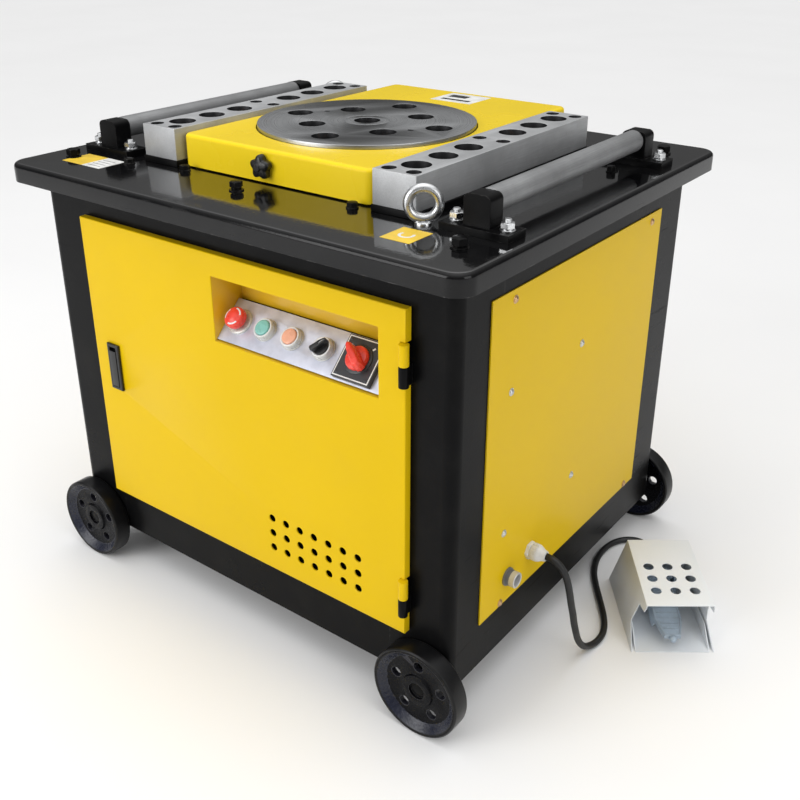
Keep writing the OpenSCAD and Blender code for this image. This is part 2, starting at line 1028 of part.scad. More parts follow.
module eye_bolts() {
    ring_r = 20.3;
    wire_r = 6.7;
    ring_z = 27.8;
    collar_r = 12;
    collar_t = 5;
    color("#d4d6d8")
        at_machine()
            for (p = [[286, -242], [-292, 265]])
                translate([p[0], p[1], table_h]) {
                    cylinder(r = collar_r, h = collar_t);
                    cylinder(r = 8, h = ring_z - ring_r + 1);
                    translate([0, 0, ring_z])
                        rotate([90, 0, pedal_turn])
                            rotate_extrude()
                                translate([ring_r, 0])
                                    circle(wire_r);
                }
}

// Black bolts that hold the table, the bars' plates and the gearbox
module table_bolts() {
    corner_x = 375;
    corner_y = 298;
    tall = [-22, -274];
    medium = [[-165, -243], [167, -242], [-268, -266]];
    small = [[-345, 146], [360, 146]];
    color("#1f1f20")
        at_machine() {
            for (x = [-corner_x, corner_x], y = [body_y - corner_y, body_y + corner_y])
                translate([x, y, table_h])
                    hex_bolt(19, 9, 12, 2, 0, 0);
            translate([tall[0], tall[1], table_h])
                hex_bolt(17, 10, 11, 4, 0, 0);
            for (p = medium)
                translate([p[0], p[1], table_h])
                    hex_bolt(14, 7, 9, 2, 0, 0);
            for (p = small)
                translate([p[0], p[1], table_h])
                    hex_bolt(13, 8, 8, 1.5, 0, 0);
        }
}

module star_knob() {
    thick = 14;
    lobe_at = 12;
    lobe_r = 6.5;
    color("#141414")
        at_machine()
            translate([knob_x, cover_front - 1, knob_z])
                rotate([90, 0, 0]) {
                    linear_extrude(thick) {
                        circle(lobe_at);
                        for (i = [0 : 4])
                            rotate(72 * i + 18)
                                translate([lobe_at, 0])
                                    circle(lobe_r);
                    }
                    translate([0, 0, thick - eps])
                        cylinder(r = 7, h = 2);
                    translate([0, 0, -cover_wall - 4])
                        cylinder(r = 4, h = cover_wall + 5);
                }
}

// ---- Door and its hinges --------------------------------------------------------------------

module door_panel() {
    color("#f2cc22")
        at_door()
            difference() {
                span([door_left, door_right], [door_front, door_back],
                    [door_bottom, door_bottom + door_h]);
                span([door_left + sheet, door_right - sheet], [door_front + sheet, door_back + 1],
                    [door_bottom + sheet, door_bottom + door_h - sheet]);
                span(recess_x, [door_front - 1, door_front + sheet + 1], recess_z);
                span([lock_x - lock_body_w / 2 - 1, lock_x + lock_body_w / 2 + 1],
                    [door_front - 1, door_front + sheet + 1],
                    [lock_z - lock_body_h / 2 - 1, lock_z + lock_body_h / 2 + 1]);
                for (i = [0 : vent_columns - 1], j = [0 : vent_rows - 1])
                    translate([vent_x + i * vent_step_x, door_front - 1, vent_z + j * vent_step_z])
                        rotate([-90, 0, 0])
                            cylinder(r = vent_r, h = sheet + 2);
                for (z = hinge_heights)
                    span([hinge_notch, door_right + 1], [door_front - 1, door_back + 1],
                        [z - 1, z + 2 * hinge_half + 1]);
            }
}

// Door half of each lift-off hinge: a capped barrel welded to the edge of its notch
module door_hinge_barrels() {
    cap = 5;
    color("#f2cc22")
        at_door()
            for (z = hinge_heights)
                translate([hinge_x, hinge_y, z + hinge_half]) {
                    difference() {
                        union() {
                            cylinder(r = hinge_r, h = hinge_half);
                            translate([hinge_notch - hinge_x, door_front - hinge_y, 0])
                                cube([4, 4, hinge_half]);
                        }
                        translate([0, 0, -1])
                            cylinder(r = hinge_pin_r + run_fit, h = hinge_half - cap + 1);
                    }
                }
}

// Frame half of each lift-off hinge: barrel, pin and the tongue welded to the post
module hinge_pins() {
    color("#1b1b1c")
        at_machine()
            for (z = hinge_heights)
                translate([hinge_x, hinge_y, z]) {
                    cylinder(r = hinge_r, h = hinge_half - 0.5);
                    cylinder(r = hinge_pin_r, h = 2 * hinge_half - 6);
                    translate([-3, 0, 0])
                        cube([6, front_y - hinge_y, hinge_half - 0.5]);
                }
}

// Shell of the recess: two cheeks, a roof, a back above the control plate, and a lip below it
module control_recess() {
    wall = 1.5;
    x0 = recess_x[0];
    x1 = recess_x[1];
    y0 = door_front + sheet;
    y1 = y0 + recess_depth;
    z0 = recess_z[0];
    z1 = recess_z[1];
    drop = recess_depth - 8;
    color("#dfb81e")
        at_door() {
            difference() {
                span([x0 - wall, x1 + wall], [y0, y1], [z0 - wall, z1 + wall]);
                span([x0, x1], [y0 - 1, y1 - wall], [z0, z1]);
                translate([x0 - 10, 0, 0])
                    rotate([90, 0, 90])
                        linear_extrude(x1 - x0 + 20)
                            polygon([[y0 + 6, z0 - 5], [y1 + 5, z0 - 5], [y1 + 5, z0 + drop + 5 - wall]]);
            }
        }
}

module control_plate() {
    side_gap = 0.5;
    color("#c8cacc")
        at_door()
            translate([0, plate_y, plate_z])
                rotate([panel_tilt, 0, 0])
                    difference() {
                        translate([recess_x[0] + side_gap, 0, -plate_t])
                            cube([recess_x[1] - recess_x[0] - 2 * side_gap, plate_l, plate_t]);
                        for (x = [estop_x, green_x, orange_x, selector_x])
                            translate([x, device_y, -plate_t - 1])
                                cylinder(r = barrel_r + 0.2, h = plate_t + 2);
                        translate([switch_x, device_y, -plate_t - 1])
                            cylinder(r = 16, h = plate_t + 2);
                    }
}

// A barrel through the plate, its nut and the contact block behind it
module barrel() {
    difference() {
        union() {
            translate([0, 0, -20])
                cylinder(r = barrel_r, h = 20 + eps);
            translate([-13, -13, -42])
                cube([26, 26, 22 + eps]);
        }
        translate([0, 0, -16])
            cylinder(r = stem_bore_r, h = 17);
    }
}

module estop_collar() {
    color("#d9d9d6")
        at_control(estop_x) {
            difference() {
                cylinder(r = 20, h = 4);
                translate([0, 0, -1])
                    cylinder(r = stem_bore_r, h = 6);
            }
            barrel();
        }
}

module estop_button() {
    head_low = 9;
    head_r = 16.5;
    color("#d42027")
        at_control(estop_x)
            rotate_extrude()
                polygon([
                    [0, -9], [stem_r, -9], [stem_r, head_low], [head_r - 2, head_low],
                    [head_r, head_low + 2], [head_r, head_low + 7], [head_r - 1.5, head_low + 10.5],
                    [head_r - 5, head_low + 13], [head_r - 10, head_low + 14.5], [0, head_low + 15]
                ]);
}

module bezel() {
    difference() {
        cylinder(r = bezel_r, h = bezel_h);
        translate([0, 0, 0.5])
            cylinder(r = 12, h = bezel_h);
        translate([0, 0, -1])
            cylinder(r = stem_bore_r, h = 3);
    }
    barrel();
}

module button_bezels() {
    color("#c6cbcb")
        for (x = [green_x, orange_x, selector_x])
            at_control(x)
                bezel();
}

module push_button() {
    rotate_extrude()
        polygon([
            [0, -10], [stem_r, -10], [stem_r, 7.5], [11.7, 7.5], [11.7, 11.2],
            [10.7, 12.2], [0, 12.5]
        ]);
}

module green_button() {
    color("#2f9a6b")
        at_control(green_x)
            push_button();
}

module orange_button() {
    color("#e8845f")
        at_control(orange_x)
            push_button();
}

module selector_knob() {
    color("#1a1a1a")
        at_control(selector_x) {
            translate([0, 0, -10])
                cylinder(r = stem_r, h = 13);
            translate([0, 0, 2.5])
                cylinder(r = 11.7, h = 9);
            rotate([0, 0, -40])
                translate([-4, -12, 11])
                    cube([8, 26, 10]);
        }
}

module switch_plate() {
    side = 64;
    thick = 9;
    collar = 2;
    color("#3a3d41")
        at_control(switch_x) {
            difference() {
                union() {
                    translate([-side / 2, -side / 2, 0])
                        cube([side, side, thick]);
                    cylinder(r = 21, h = thick + collar);
                    translate([0, 0, -12])
                        cylinder(r = 15, h = 13);
                }
                translate([0, 0, -10])
                    cylinder(r = 5 + run_fit, h = 30);
            }
            translate([-22, -22, -40])
                cube([44, 44, 28 + eps]);
        }
}

module switch_handle() {
    base_z = 11.5;
    grip_turn = 50;
    color("#cf1f24")
        at_control(switch_x) {
            translate([0, 0, base_z])
                cylinder(r = 17, h = 6);
            translate([0, 0, -9])
                cylinder(r = 5, h = 21);
            rotate([0, 0, grip_turn])
                translate([-6, -22, base_z + 5])
                    cube([12, 44, 15]);
        }
}

module lock_housing() {
    color("#191919")
        at_door()
            difference() {
                union() {
                    span([lock_x - lock_w / 2, lock_x + lock_w / 2],
                        [door_front - lock_proud, door_front],
                        [lock_z - lock_h / 2, lock_z + lock_h / 2]);
                    span([lock_x - lock_body_w / 2, lock_x + lock_body_w / 2],
                        [door_front - 1, door_front + lock_body_d],
                        [lock_z - lock_body_h / 2, lock_z + lock_body_h / 2]);
                }
                span([lock_x - lever_w / 2 - 1, lock_x + lever_w / 2 + 1],
                    [door_front - lock_proud - 1, door_front + 6],
                    [lock_z - lever_h / 2 - 2, lock_z + lever_h / 2 + 2]);
                translate([lock_x - lock_w / 2 + 3, lever_pivot_y, lever_pivot_z])
                    rotate([0, 90, 0])
                        cylinder(r = 2 + run_fit, h = lock_w - 6);
            }
}

// Pull lever: pinned near its top, its lower end swings out
module lock_lever() {
    color("#222223")
        at_door() {
            span([lock_x - lever_w / 2, lock_x + lever_w / 2],
                [door_front - lock_proud - 1, door_front + 1],
                [lock_z - lever_h / 2, lever_pivot_z + 3]);
            translate([lock_x - lock_w / 2 + 4, lever_pivot_y, lever_pivot_z])
                rotate([0, 90, 0])
                    cylinder(r = 2, h = lock_w - 8);
        }
}

// ---- Cable entries ----------------------------------------------------------------------------

// Nylon gland: hexagon, nut with a rounded nose, and the thread through the panel
module cable_gland() {
    from = side_x + sheet;
    hex_t = 6;
    tip = CORD_ROUTE[0][0];
    color("#e8e8e4")
        at_machine()
            translate([from, gland_y, gland_z])
                rotate([0, 90, 0]) {
                    cylinder(r = 14.5, h = hex_t, $fn = 6);
                    translate([0, 0, hex_t - eps])
                        rotate_extrude()
                            polygon([
                                [0, 0], [12.6, 0], [13, 2], [13, 12], [11, 17],
                                [7.8, tip - from - hex_t], [0, tip - from - hex_t]
                            ]);
                    translate([0, 0, -sheet - 10])
                        cylinder(r = gland_hole_r - 0.5, h = sheet + 10 + eps);
                }
}

// Threaded metal inlet: flange, knurled sleeve with an open bore
module power_inlet() {
    from = side_x + sheet;
    color("#b4b7ba")
        at_machine()
            translate([from, inlet_y, inlet_z])
                rotate([0, 90, 0])
                    difference() {
                        union() {
                            cylinder(r = inlet_r + 2, h = 3);
                            cylinder(r = inlet_r, h = inlet_l);
                            translate([0, 0, -sheet - 12])
                                cylinder(r = gland_hole_r - 0.5, h = sheet + 12 + eps);
                        }
                        translate([0, 0, 2])
                            cylinder(r = inlet_bore_r, h = inlet_l);
                    }
}

// ---- Pedal --------------------------------------------------------------------------------------

module pedal_tray() {
    w = tray_w - 14;
    wall_h = 26;
    t = 1.5;
    color("#dcddd7")
        at_pedal() {
            translate([-w / 2, -tray_l / 2, 0])
                cube([w, tray_l - 6, t]);
            for (s = [-1, 1])
                translate([s * (w / 2 - t / 2), 0, 0])
                    rotate([90, 0, 90])
                        translate([0, 0, -t / 2])
                            linear_extrude(t)
                                polygon([
                                    [-tray_l / 2, 0], [tray_l / 2 - 20, 0],
                                    [tray_l / 2 - 20, wall_h], [-tray_l / 2 + 40, wall_h]
                                ]);
        }
}

// Outer or inner shape of the guard; t is how far it is set in
module hood_shape(t) {
    intersection() {
        translate([0, 150, 0])
            rotate([90, 0, 0])
                linear_extrude(300)
                    polygon([
                        [t - tray_w / 2, -t], [tray_w / 2 - t, -t],
                        [tray_w / 2 - hood_narrow - t, hood_h - t],
                        [t - tray_w / 2 + hood_narrow, hood_h - t]
                    ]);
        translate([-150, 0, 0])
            rotate([90, 0, 90])
                linear_extrude(300)
                    polygon([
                        [tray_l / 2 - t, -t], [tray_l / 2 - hood_lean - t, hood_h - t],
                        [hood_front - t, hood_front_z - t], [hood_front - t, -t]
                    ]);
    }
}

module pedal_hood() {
    t = 1.5;
    nose = tray_l / 2;
    color("#e6e6df")
        at_pedal()
            difference() {
                hood_shape(0);
                hood_shape(t);
                translate([-150, 0, 0])
                    rotate([90, 0, 90])
                        linear_extrude(300)
                            polygon([
                                [-nose, 0], [-nose + 40, 32], [-nose + 24, 78], [-nose - 4, 84],
                                [-nose - 6, 92], [-nose - 40, 92], [-nose - 40, -10], [-nose, -10]
                            ]);
                for (i = [-1 : 1], j = [-1 : 1])
                    translate([i * hood_hole_step[0], hood_hole_y + j * hood_hole_step[1], hood_h / 2])
                        cylinder(r = hood_hole_r, h = hood_h);
                translate([cord_entry_x, tray_l / 2 - 20, cord_entry_z])
                    rotate([-90, 0, 0])
                        cylinder(r = 7.5, h = 40);
            }
}

// Cast switch body with two cheeks and the pivot pin across them
module pedal_switch() {
    base = 1.5;
    color("#8c9aa6")
        at_pedal() {
            translate([-17, -18, base])
                cube([34, 84, 15]);
            for (s = [-1, 1])
                translate([s * 33 - 3, pivot_y - 12, base])
                    cube([6, 24, pivot_z + 8 - base]);
            translate([-34, pivot_y - 12, base])
                cube([68, 24, 8]);
            translate([-33, pivot_y, pivot_z])
                rotate([0, 90, 0])
                    cylinder(r = pivot_r, h = 66);
        }
}

module foot_pedal() {
    half = 4.5;
    half_w = 23;
    tip_half_w = 14;
    reach = 138;
    taper = 34;
    rear = 12;
    skirt = 14;
    skirt_t = 5;
    barrel_half = 28;
    color("#8e9cab")
        at_pedal()
            translate([0, pivot_y, pivot_z])
                rotate([pedal_slope, 0, 0])
                    difference() {
                        union() {
                            translate([0, 0, -half])
                                linear_extrude(2 * half)
                                    polygon([
                                        [-half_w, rear], [half_w, rear], [half_w, taper - reach],
                                        [tip_half_w, -reach], [-tip_half_w, -reach], [-half_w, taper - reach]
                                    ]);
                            for (x = [-half_w, half_w - skirt_t])
                                translate([x, taper + 2 - reach, -skirt])
                                    cube([skirt_t, reach - taper - 2, skirt]);
                            translate([0, -reach - 3, 0])
                                sphere(r = 6);
                            translate([-barrel_half, 0, 0])
                                rotate([0, 90, 0])
                                    cylinder(r = 9, h = 2 * barrel_half);
                        }
                        translate([-barrel_half - 12, 0, 0])
                            rotate([0, 90, 0])
                                cylinder(r = pivot_r + run_fit, h = 2 * barrel_half + 24);
                    }
}

module pedal_strain_relief() {
    color("#161616")
        at_pedal()
            translate([cord_entry_x, relief_from - 8, cord_entry_z])
                rotate([-90, 0, 0])
                    rotate_extrude()
                        polygon([
                            [0, 0], [7.4, 0], [7.4, 14.5], [9, 15.5], [9, 19.5],
                            [6.5, relief_to - relief_from + 8], [0, relief_to - relief_from + 8]
                        ]);
}

// ---- Cord ---------------------------------------------------------------------------------------

function unit(v) = v / norm(v);

function cord_way(route, i) =
    unit(route[min(i + 1, len(route) - 1)] - route[max(i - 1, 0)]);

// Rings stand square to the route; every ring's side vector is level
function cord_ring(route, i, r, sides) =
    let (
        way = i == 0 ? [1, 0, 0] : cord_way(route, i),
        flat = cross([0, 0, 1], way),
        side = norm(flat) > 0.05 ? unit(flat) : [0, 1, 0],
        up = cross(way, side)
    )
        [for (k = [0 : sides - 1]) route[i] + r * (cos(360 * k / sides) * side + sin(360 * k / sides) * up)];

module cord_tube(route, d, sides) {
    n = len(route);
    polyhedron(
        points = [for (i = [0 : n - 1]) each cord_ring(route, i, d / 2, sides)],
        faces = concat(
            [[for (k = [0 : sides - 1]) k]],
            [
                for (i = [0 : n - 2], k = [0 : sides - 1])
                    [
                        i * sides + k, (i + 1) * sides + k,
                        (i + 1) * sides + (k + 1) % sides, i * sides + (k + 1) % sides
                    ]
            ],
            [[for (k = [sides - 1 : -1 : 0]) (n - 1) * sides + k]]
        )
    );
}

module pedal_cord() {
    color("#1a1a1b")
        at_machine()
            cord_tube(CORD_ROUTE, cord_d, CORD_SIDES);
}

// ---- Nodes ----------------------------------------------------------------------------------------

corner_posts();
bottom_rails();
top_rails();
table_top();
floor_plate();
side_panel_right();
side_panel_left();
rear_panel();
panel_screws();
hinge_pins();
wheel_axles();
turntable_cover();
pin_bar_left();
pin_bar_right();
bar_base_plates();
roller_brackets();
bracket_bolts();
eye_bolts();
table_bolts();
gearbox_housing();
shaft_bearings();
motor_housing();
drive_belts();
electric_box();
cable_gland();
power_inlet();
pedal_tray();
pedal_hood();
pedal_switch();
pedal_strain_relief();
pedal_cord();
door_panel();
control_recess();
door_hinge_barrels();
lock_housing();
control_plate();
estop_collar();
button_bezels();
switch_plate();
lock_lever();
estop_button();
green_button();
orange_button();
selector_knob();
switch_handle();
turntable_disc();
mandrel_bush();
main_shaft();
worm_wheel();
worm_shaft();
driven_pulley();
motor_pulley();
star_knob();
roller_left();
roller_right();
wheel_front_left();
wheel_front_right();
wheel_rear_left();
wheel_rear_right();
foot_pedal();
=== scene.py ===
import json
import math

import bmesh
import bpy
import numpy as np
from mathutils import Matrix, Vector

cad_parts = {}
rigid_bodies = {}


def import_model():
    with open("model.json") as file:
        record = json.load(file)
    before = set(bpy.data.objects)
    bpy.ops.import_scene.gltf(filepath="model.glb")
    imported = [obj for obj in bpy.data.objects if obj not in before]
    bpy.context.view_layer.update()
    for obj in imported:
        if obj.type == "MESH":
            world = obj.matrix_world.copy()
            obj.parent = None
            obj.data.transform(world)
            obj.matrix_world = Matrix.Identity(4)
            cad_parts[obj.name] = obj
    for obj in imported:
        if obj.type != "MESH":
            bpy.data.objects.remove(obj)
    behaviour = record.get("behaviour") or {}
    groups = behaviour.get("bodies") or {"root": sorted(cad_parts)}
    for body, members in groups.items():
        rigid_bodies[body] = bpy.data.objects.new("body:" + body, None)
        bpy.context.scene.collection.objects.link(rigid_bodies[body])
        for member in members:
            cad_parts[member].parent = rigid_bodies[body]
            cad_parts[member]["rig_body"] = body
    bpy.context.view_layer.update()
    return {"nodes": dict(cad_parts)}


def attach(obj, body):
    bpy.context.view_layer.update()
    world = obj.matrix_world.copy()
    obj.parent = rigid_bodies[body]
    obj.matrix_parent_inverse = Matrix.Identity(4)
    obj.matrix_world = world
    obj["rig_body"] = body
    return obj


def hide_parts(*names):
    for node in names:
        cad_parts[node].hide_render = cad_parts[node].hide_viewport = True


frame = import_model()
nodes = frame["nodes"]

SHIFT = Vector((-0.1076, -0.007, 0.0))  # the disc axis's foot, in the row frame


def at(x, y, z):
    """A point given in millimetres from the disc axis's foot."""
    return Vector((x, y, z)) / 1000 + SHIFT


# ---- Camera ----------------------------------------------------------------------------------

YAW = math.radians(37.17)  # left of straight ahead
PITCH = math.radians(24.81)  # down
FOCAL_MM = 45.37
SENSOR_MM = 36.0


def make_camera():
    data = bpy.data.cameras.new("camera")
    data.lens = FOCAL_MM
    data.sensor_width = SENSOR_MM
    data.shift_x = 0.0040
    data.shift_y = -0.0572
    data.clip_end = 50
    camera = bpy.data.objects.new("camera", data)
    bpy.context.scene.collection.objects.link(camera)
    camera.location = at(1015.66, -1261.36, 1121.16)
    camera.rotation_euler = (math.pi / 2 - PITCH, 0.0, YAW)
    bpy.context.scene.camera = camera


make_camera()

# ---- Pedal cable ---------------------------------------------------------------------------------

# Out of the gland, down to the floor and round to the back of the pedal, from the disc axis's foot
CABLE_ROUTE = [
    (0.4360, -0.1210, 0.2010), (0.4480, -0.1211, 0.2001), (0.4594, -0.1198, 0.1927),
    (0.4680, -0.1181, 0.1797), (0.4728, -0.1157, 0.1631), (0.4756, -0.1125, 0.1437),
    (0.4774, -0.1084, 0.1234), (0.4793, -0.1032, 0.1021), (0.4800, -0.0979, 0.0818),
    (0.4817, -0.0926, 0.0624), (0.4824, -0.0851, 0.0439), (0.4839, -0.0755, 0.0273),
    (0.4863, -0.0626, 0.0143), (0.4895, -0.0473, 0.0078), (0.4925, -0.0297, 0.0060),
    (0.4915, -0.0100, 0.0060), (0.4846, 0.0107, 0.0060), (0.4738, 0.0305, 0.0060),
    (0.4610, 0.0492, 0.0060), (0.4472, 0.0679, 0.0060), (0.4334, 0.0867, 0.0060),
    (0.4196, 0.1064, 0.0060), (0.4067, 0.1271, 0.0060), (0.3969, 0.1488, 0.0060),
    (0.3900, 0.1714, 0.0060), (0.3870, 0.1951, 0.0060), (0.3880, 0.2188, 0.0060),
    (0.3939, 0.2405, 0.0060), (0.4058, 0.2582, 0.0060), (0.4235, 0.2681, 0.0060),
    (0.4432, 0.2661, 0.0060), (0.4580, 0.2552, 0.0060), (0.4707, 0.2351, 0.0083),
    (0.4804, 0.2240, 0.0105), (0.4891, 0.2124, 0.0120),
]
CABLE_RADIUS = 0.0055
PEDAL = Matrix.Translation(at(541.5, 102.5, 0)) @ Matrix.Rotation(math.radians(36.87), 4, "Z")


def smooth_path(knots, steps):
    """Catmull-Rom points through the knots."""
    ends = [knots[0] * 2 - knots[1]] + knots + [knots[-1] * 2 - knots[-2]]
    path = []
    for a, b, c, d in zip(ends, ends[1:], ends[2:], ends[3:]):
        for k in range(steps):
            t = k / steps
            path.append(0.5 * (2 * b + (c - a) * t + (2 * a - 5 * b + 4 * c - d) * t ** 2
                               + (3 * b - a - 3 * c + d) * t ** 3))
    return path + [knots[-1]]


def tube(bm, path, radius):
    """A round tube along the path; each ring turns on from the last without twisting."""
    sides = 16
    rings = []
    side = Vector((0, 1, 0))
    for i, centre in enumerate(path):
        way = (path[min(i + 1, len(path) - 1)] - path[max(i - 1, 0)]).normalized()
        side = (side - way * side.dot(way)).normalized()
        up = way.cross(side)
        ring = []
        for k in range(sides):
            a = 2 * math.pi * k / sides
            ring.append(bm.verts.new(centre + (side * math.cos(a) + up * math.sin(a)) * radius))
        rings.append(ring)
    for low, high in zip(rings, rings[1:]):
        for k in range(sides):
            bm.faces.new((low[k], low[(k + 1) % sides], high[(k + 1) % sides], high[k]))
    bm.faces.new(rings[0][::-1])
    bm.faces.new(rings[-1])


def make_cable():
    """The pedal's cable: a round tube along a smooth line through the route's points."""
    path = smooth_path([Vector(place) + SHIFT for place in CABLE_ROUTE], 5)
    bm = bmesh.new()
    tube(bm, path, CABLE_RADIUS)
    mesh = bpy.data.meshes.new("pedal_cable")
    bm.to_mesh(mesh)
    bm.free()
    mesh.shade_smooth()
    mesh.set_sharp_from_angle(angle=math.radians(50))
    made = bpy.data.objects.new("pedal_cable", mesh)
    bpy.context.scene.collection.objects.link(made)
    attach(made, "cabinet")
    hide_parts("pedal_cord")
    return made


cable = make_cable()

# ---- Node materials --------------------------------------------------------------------------


class Nodes:
    """Short calls for building one material's node tree."""

    def __init__(self, name):
        self.material = bpy.data.materials.new(name)
        self.material.use_nodes = True
        self.tree = self.material.node_tree
        self.shader = self.tree.nodes["Principled BSDF"]
        coords = self.tree.nodes.new("ShaderNodeTexCoord")
        self.place = coords.outputs["Object"]

    def put(self, socket, value):
        if isinstance(value, bpy.types.NodeSocket):
            self.tree.links.new(value, socket)
        elif isinstance(value, (tuple, list)) and len(value) == 3 and socket.type == "RGBA":
            socket.default_value = (*value, 1.0)
        else:
            socket.default_value = value

    def node(self, kind, inputs=(), **settings):
        made = self.tree.nodes.new("ShaderNode" + kind)
        for key, value in settings.items():
            setattr(made, key, value)
        for key, value in dict(inputs).items():
            self.put(made.inputs[key], value)
        return made

    def stretched(self, scale):
        return self.node("Mapping", {"Vector": self.place, "Scale": scale}).outputs["Vector"]

    def noise(self, scale, detail=3.0, rough=0.55, where=None):
        inputs = {
            "Vector": where or self.place, "Scale": scale, "Detail": detail,
            "Roughness": rough,
        }
        return self.node("TexNoise", inputs).outputs["Fac"]

    def span(self, value, low, high, to_low=0.0, to_high=1.0):
        inputs = {
            "Value": value, "From Min": low, "From Max": high, "To Min": to_low, "To Max": to_high,
        }
        return self.node("MapRange", inputs).outputs["Result"]

    def math(self, operation, a, b=0.0):
        made = self.node("Math", operation=operation)
        self.put(made.inputs[0], a)
        self.put(made.inputs[1], b)
        return made.outputs[0]

    def mix(self, fac, a, b):
        made = self.node("Mix", data_type="RGBA")
        self.put(made.inputs[0], fac)
        self.put(made.inputs[6], a)
        self.put(made.inputs[7], b)
        return made.outputs[2]

    def edges(self, radius):
        """Near 1 along sharp edges: where the rounded normal leaves the true one."""
        soft = self.node("Bevel", {"Radius": radius}, samples=4).outputs["Normal"]
        true = self.node("NewGeometry").outputs["Normal"]
        dot = self.node("VectorMath", operation="DOT_PRODUCT")
        self.put(dot.inputs[0], soft)
        self.put(dot.inputs[1], true)
        return self.span(self.math("SUBTRACT", 1.0, dot.outputs["Value"]), 0.005, 0.12)

    def bump(self, height, distance, strength):
        made = self.node("Bump", {"Height": height, "Distance": distance, "Strength": strength})
        return made.outputs["Normal"]

    def done(self, **values):
        for key, value in values.items():
            self.put(self.shader.inputs[key.replace("_", " ")], value)
        return self.material


def shade(rgb, factor):
    return tuple(min(1.0, c * factor) for c in rgb)


DUST = (0.55, 0.52, 0.46)


def enamel(name, rgb, rough, peel=260.0, chips=0.35, dust_amount=0.10, coat=0.25, ior=1.5, gleam=0.5,
           patchy=0.04, scuff=0.12):
    """Sprayed paint: orange peel, faint clouding, dust in patches, scuffs and chipped edges."""
    n = Nodes(name)
    cloud = n.noise(5.0, 4.0)
    colour = n.mix(n.span(cloud, 0.35, 0.65), shade(rgb, 1.0 - patchy), shade(rgb, 1.0 + patchy * 0.7))
    grime = n.math("MULTIPLY", n.span(n.noise(14.0, 6.0, 0.65), 0.48, 0.72), dust_amount)
    colour = n.mix(grime, colour, DUST)
    worn = n.math("MULTIPLY", n.edges(0.0016), n.span(n.noise(55.0, 5.0, 0.7), 0.50, 0.62))
    worn = n.math("MULTIPLY", worn, chips)
    colour = n.mix(worn, colour, (0.30, 0.29, 0.28))
    scratch = n.span(n.noise(9.0, 2.0, where=n.stretched((1.0, 1.0, 14.0))), 0.66, 0.70, 0.0, scuff)
    gloss = n.math("ADD", n.span(cloud, 0.3, 0.7, rough - 0.04, rough + 0.06), grime)
    gloss = n.math("ADD", gloss, n.math("ADD", scratch, n.math("MULTIPLY", worn, 0.3)))
    skin = n.bump(n.noise(peel, 2.0), 0.0004, 0.25)
    return n.done(Base_Color=colour, Roughness=gloss, Normal=skin, Coat_Weight=coat, Coat_Roughness=0.05,
                  IOR=ior, Specular_IOR_Level=gleam)


def machined(name, rgb, rough, grain=(1.0, 1.0, 1.0), rust=0.25, metal=1.0):
    """Cut steel: tool grain, dull oxide clouds, a few rust freckles, edges lighter as a painted
    highlight.
    """
    n = Nodes(name)
    lines = n.noise(420.0, 3.0, 0.6, where=n.stretched(grain))
    cloud = n.noise(11.0, 5.0, 0.6)
    colour = n.mix(n.span(cloud, 0.35, 0.68), shade(rgb, 0.72), rgb)
    colour = n.mix(n.span(lines, 0.3, 0.7, 0.0, 0.35), colour, shade(rgb, 0.6))
    freckle = n.math("MULTIPLY", n.span(n.noise(75.0, 4.0, 0.7), 0.60, 0.70), rust)
    colour = n.mix(freckle, colour, (0.16, 0.075, 0.035))
    # painted highlight: the edges lighter than the steel
    edge_highlight = n.math("MULTIPLY", n.edges(0.0012), 0.6)
    colour = n.mix(edge_highlight, colour, shade(rgb, 1.5))
    gloss = n.math("ADD", n.span(lines, 0.3, 0.7, rough - 0.08, rough + 0.08), freckle)
    bare = n.math("SUBTRACT", metal, n.math("MULTIPLY", freckle, 0.9 * metal))
    return n.done(Base_Color=colour, Metallic=bare, Roughness=gloss, Normal=n.bump(lines, 0.0002, 0.35))


def turned_steel(name, rgb, rough, centre):
    """A faced disc: fine rings round centre, stretched highlights, dull clouds, a little rust, edges
    lighter as a painted highlight.
    """
    n = Nodes(name)
    offset = n.node("VectorMath", operation="SUBTRACT")
    n.put(offset.inputs[0], n.place)
    n.put(offset.inputs[1], tuple(centre))
    flat = n.node("VectorMath", operation="MULTIPLY")
    n.put(flat.inputs[0], offset.outputs["Vector"])
    n.put(flat.inputs[1], (1.0, 1.0, 0.0))
    radius = n.node("VectorMath", operation="LENGTH")
    n.put(radius.inputs[0], flat.outputs["Vector"])
    along = n.node("CombineXYZ", {"X": radius.outputs["Value"]}).outputs["Vector"]
    rings = n.noise(620.0, 3.0, 0.6, where=along)
    bands = n.noise(45.0, 2.0, 0.5, where=along)
    cloud = n.noise(9.0, 5.0, 0.6)
    colour = n.mix(n.span(cloud, 0.35, 0.68), shade(rgb, 0.82), shade(rgb, 1.05))
    colour = n.mix(n.span(bands, 0.35, 0.65, 0.0, 0.25), colour, shade(rgb, 0.7))
    freckle = n.math("MULTIPLY", n.span(n.noise(60.0, 4.0, 0.7), 0.60, 0.72), 0.18)
    colour = n.mix(freckle, colour, (0.18, 0.10, 0.06))
    # painted highlight: the edges and chamfers lighter than the steel
    colour = n.mix(n.math("MULTIPLY", n.edges(0.0014), 0.7), colour, shade(rgb, 1.6))
    gloss = n.span(rings, 0.3, 0.7, rough - 0.07, rough + 0.07)
    tangent = n.node("Tangent", direction_type="RADIAL", axis="Z").outputs["Tangent"]
    return n.done(Base_Color=colour, Metallic=1.0, Roughness=gloss, Anisotropic=0.75, Tangent=tangent,
                  Normal=n.bump(rings, 0.0002, 0.3))


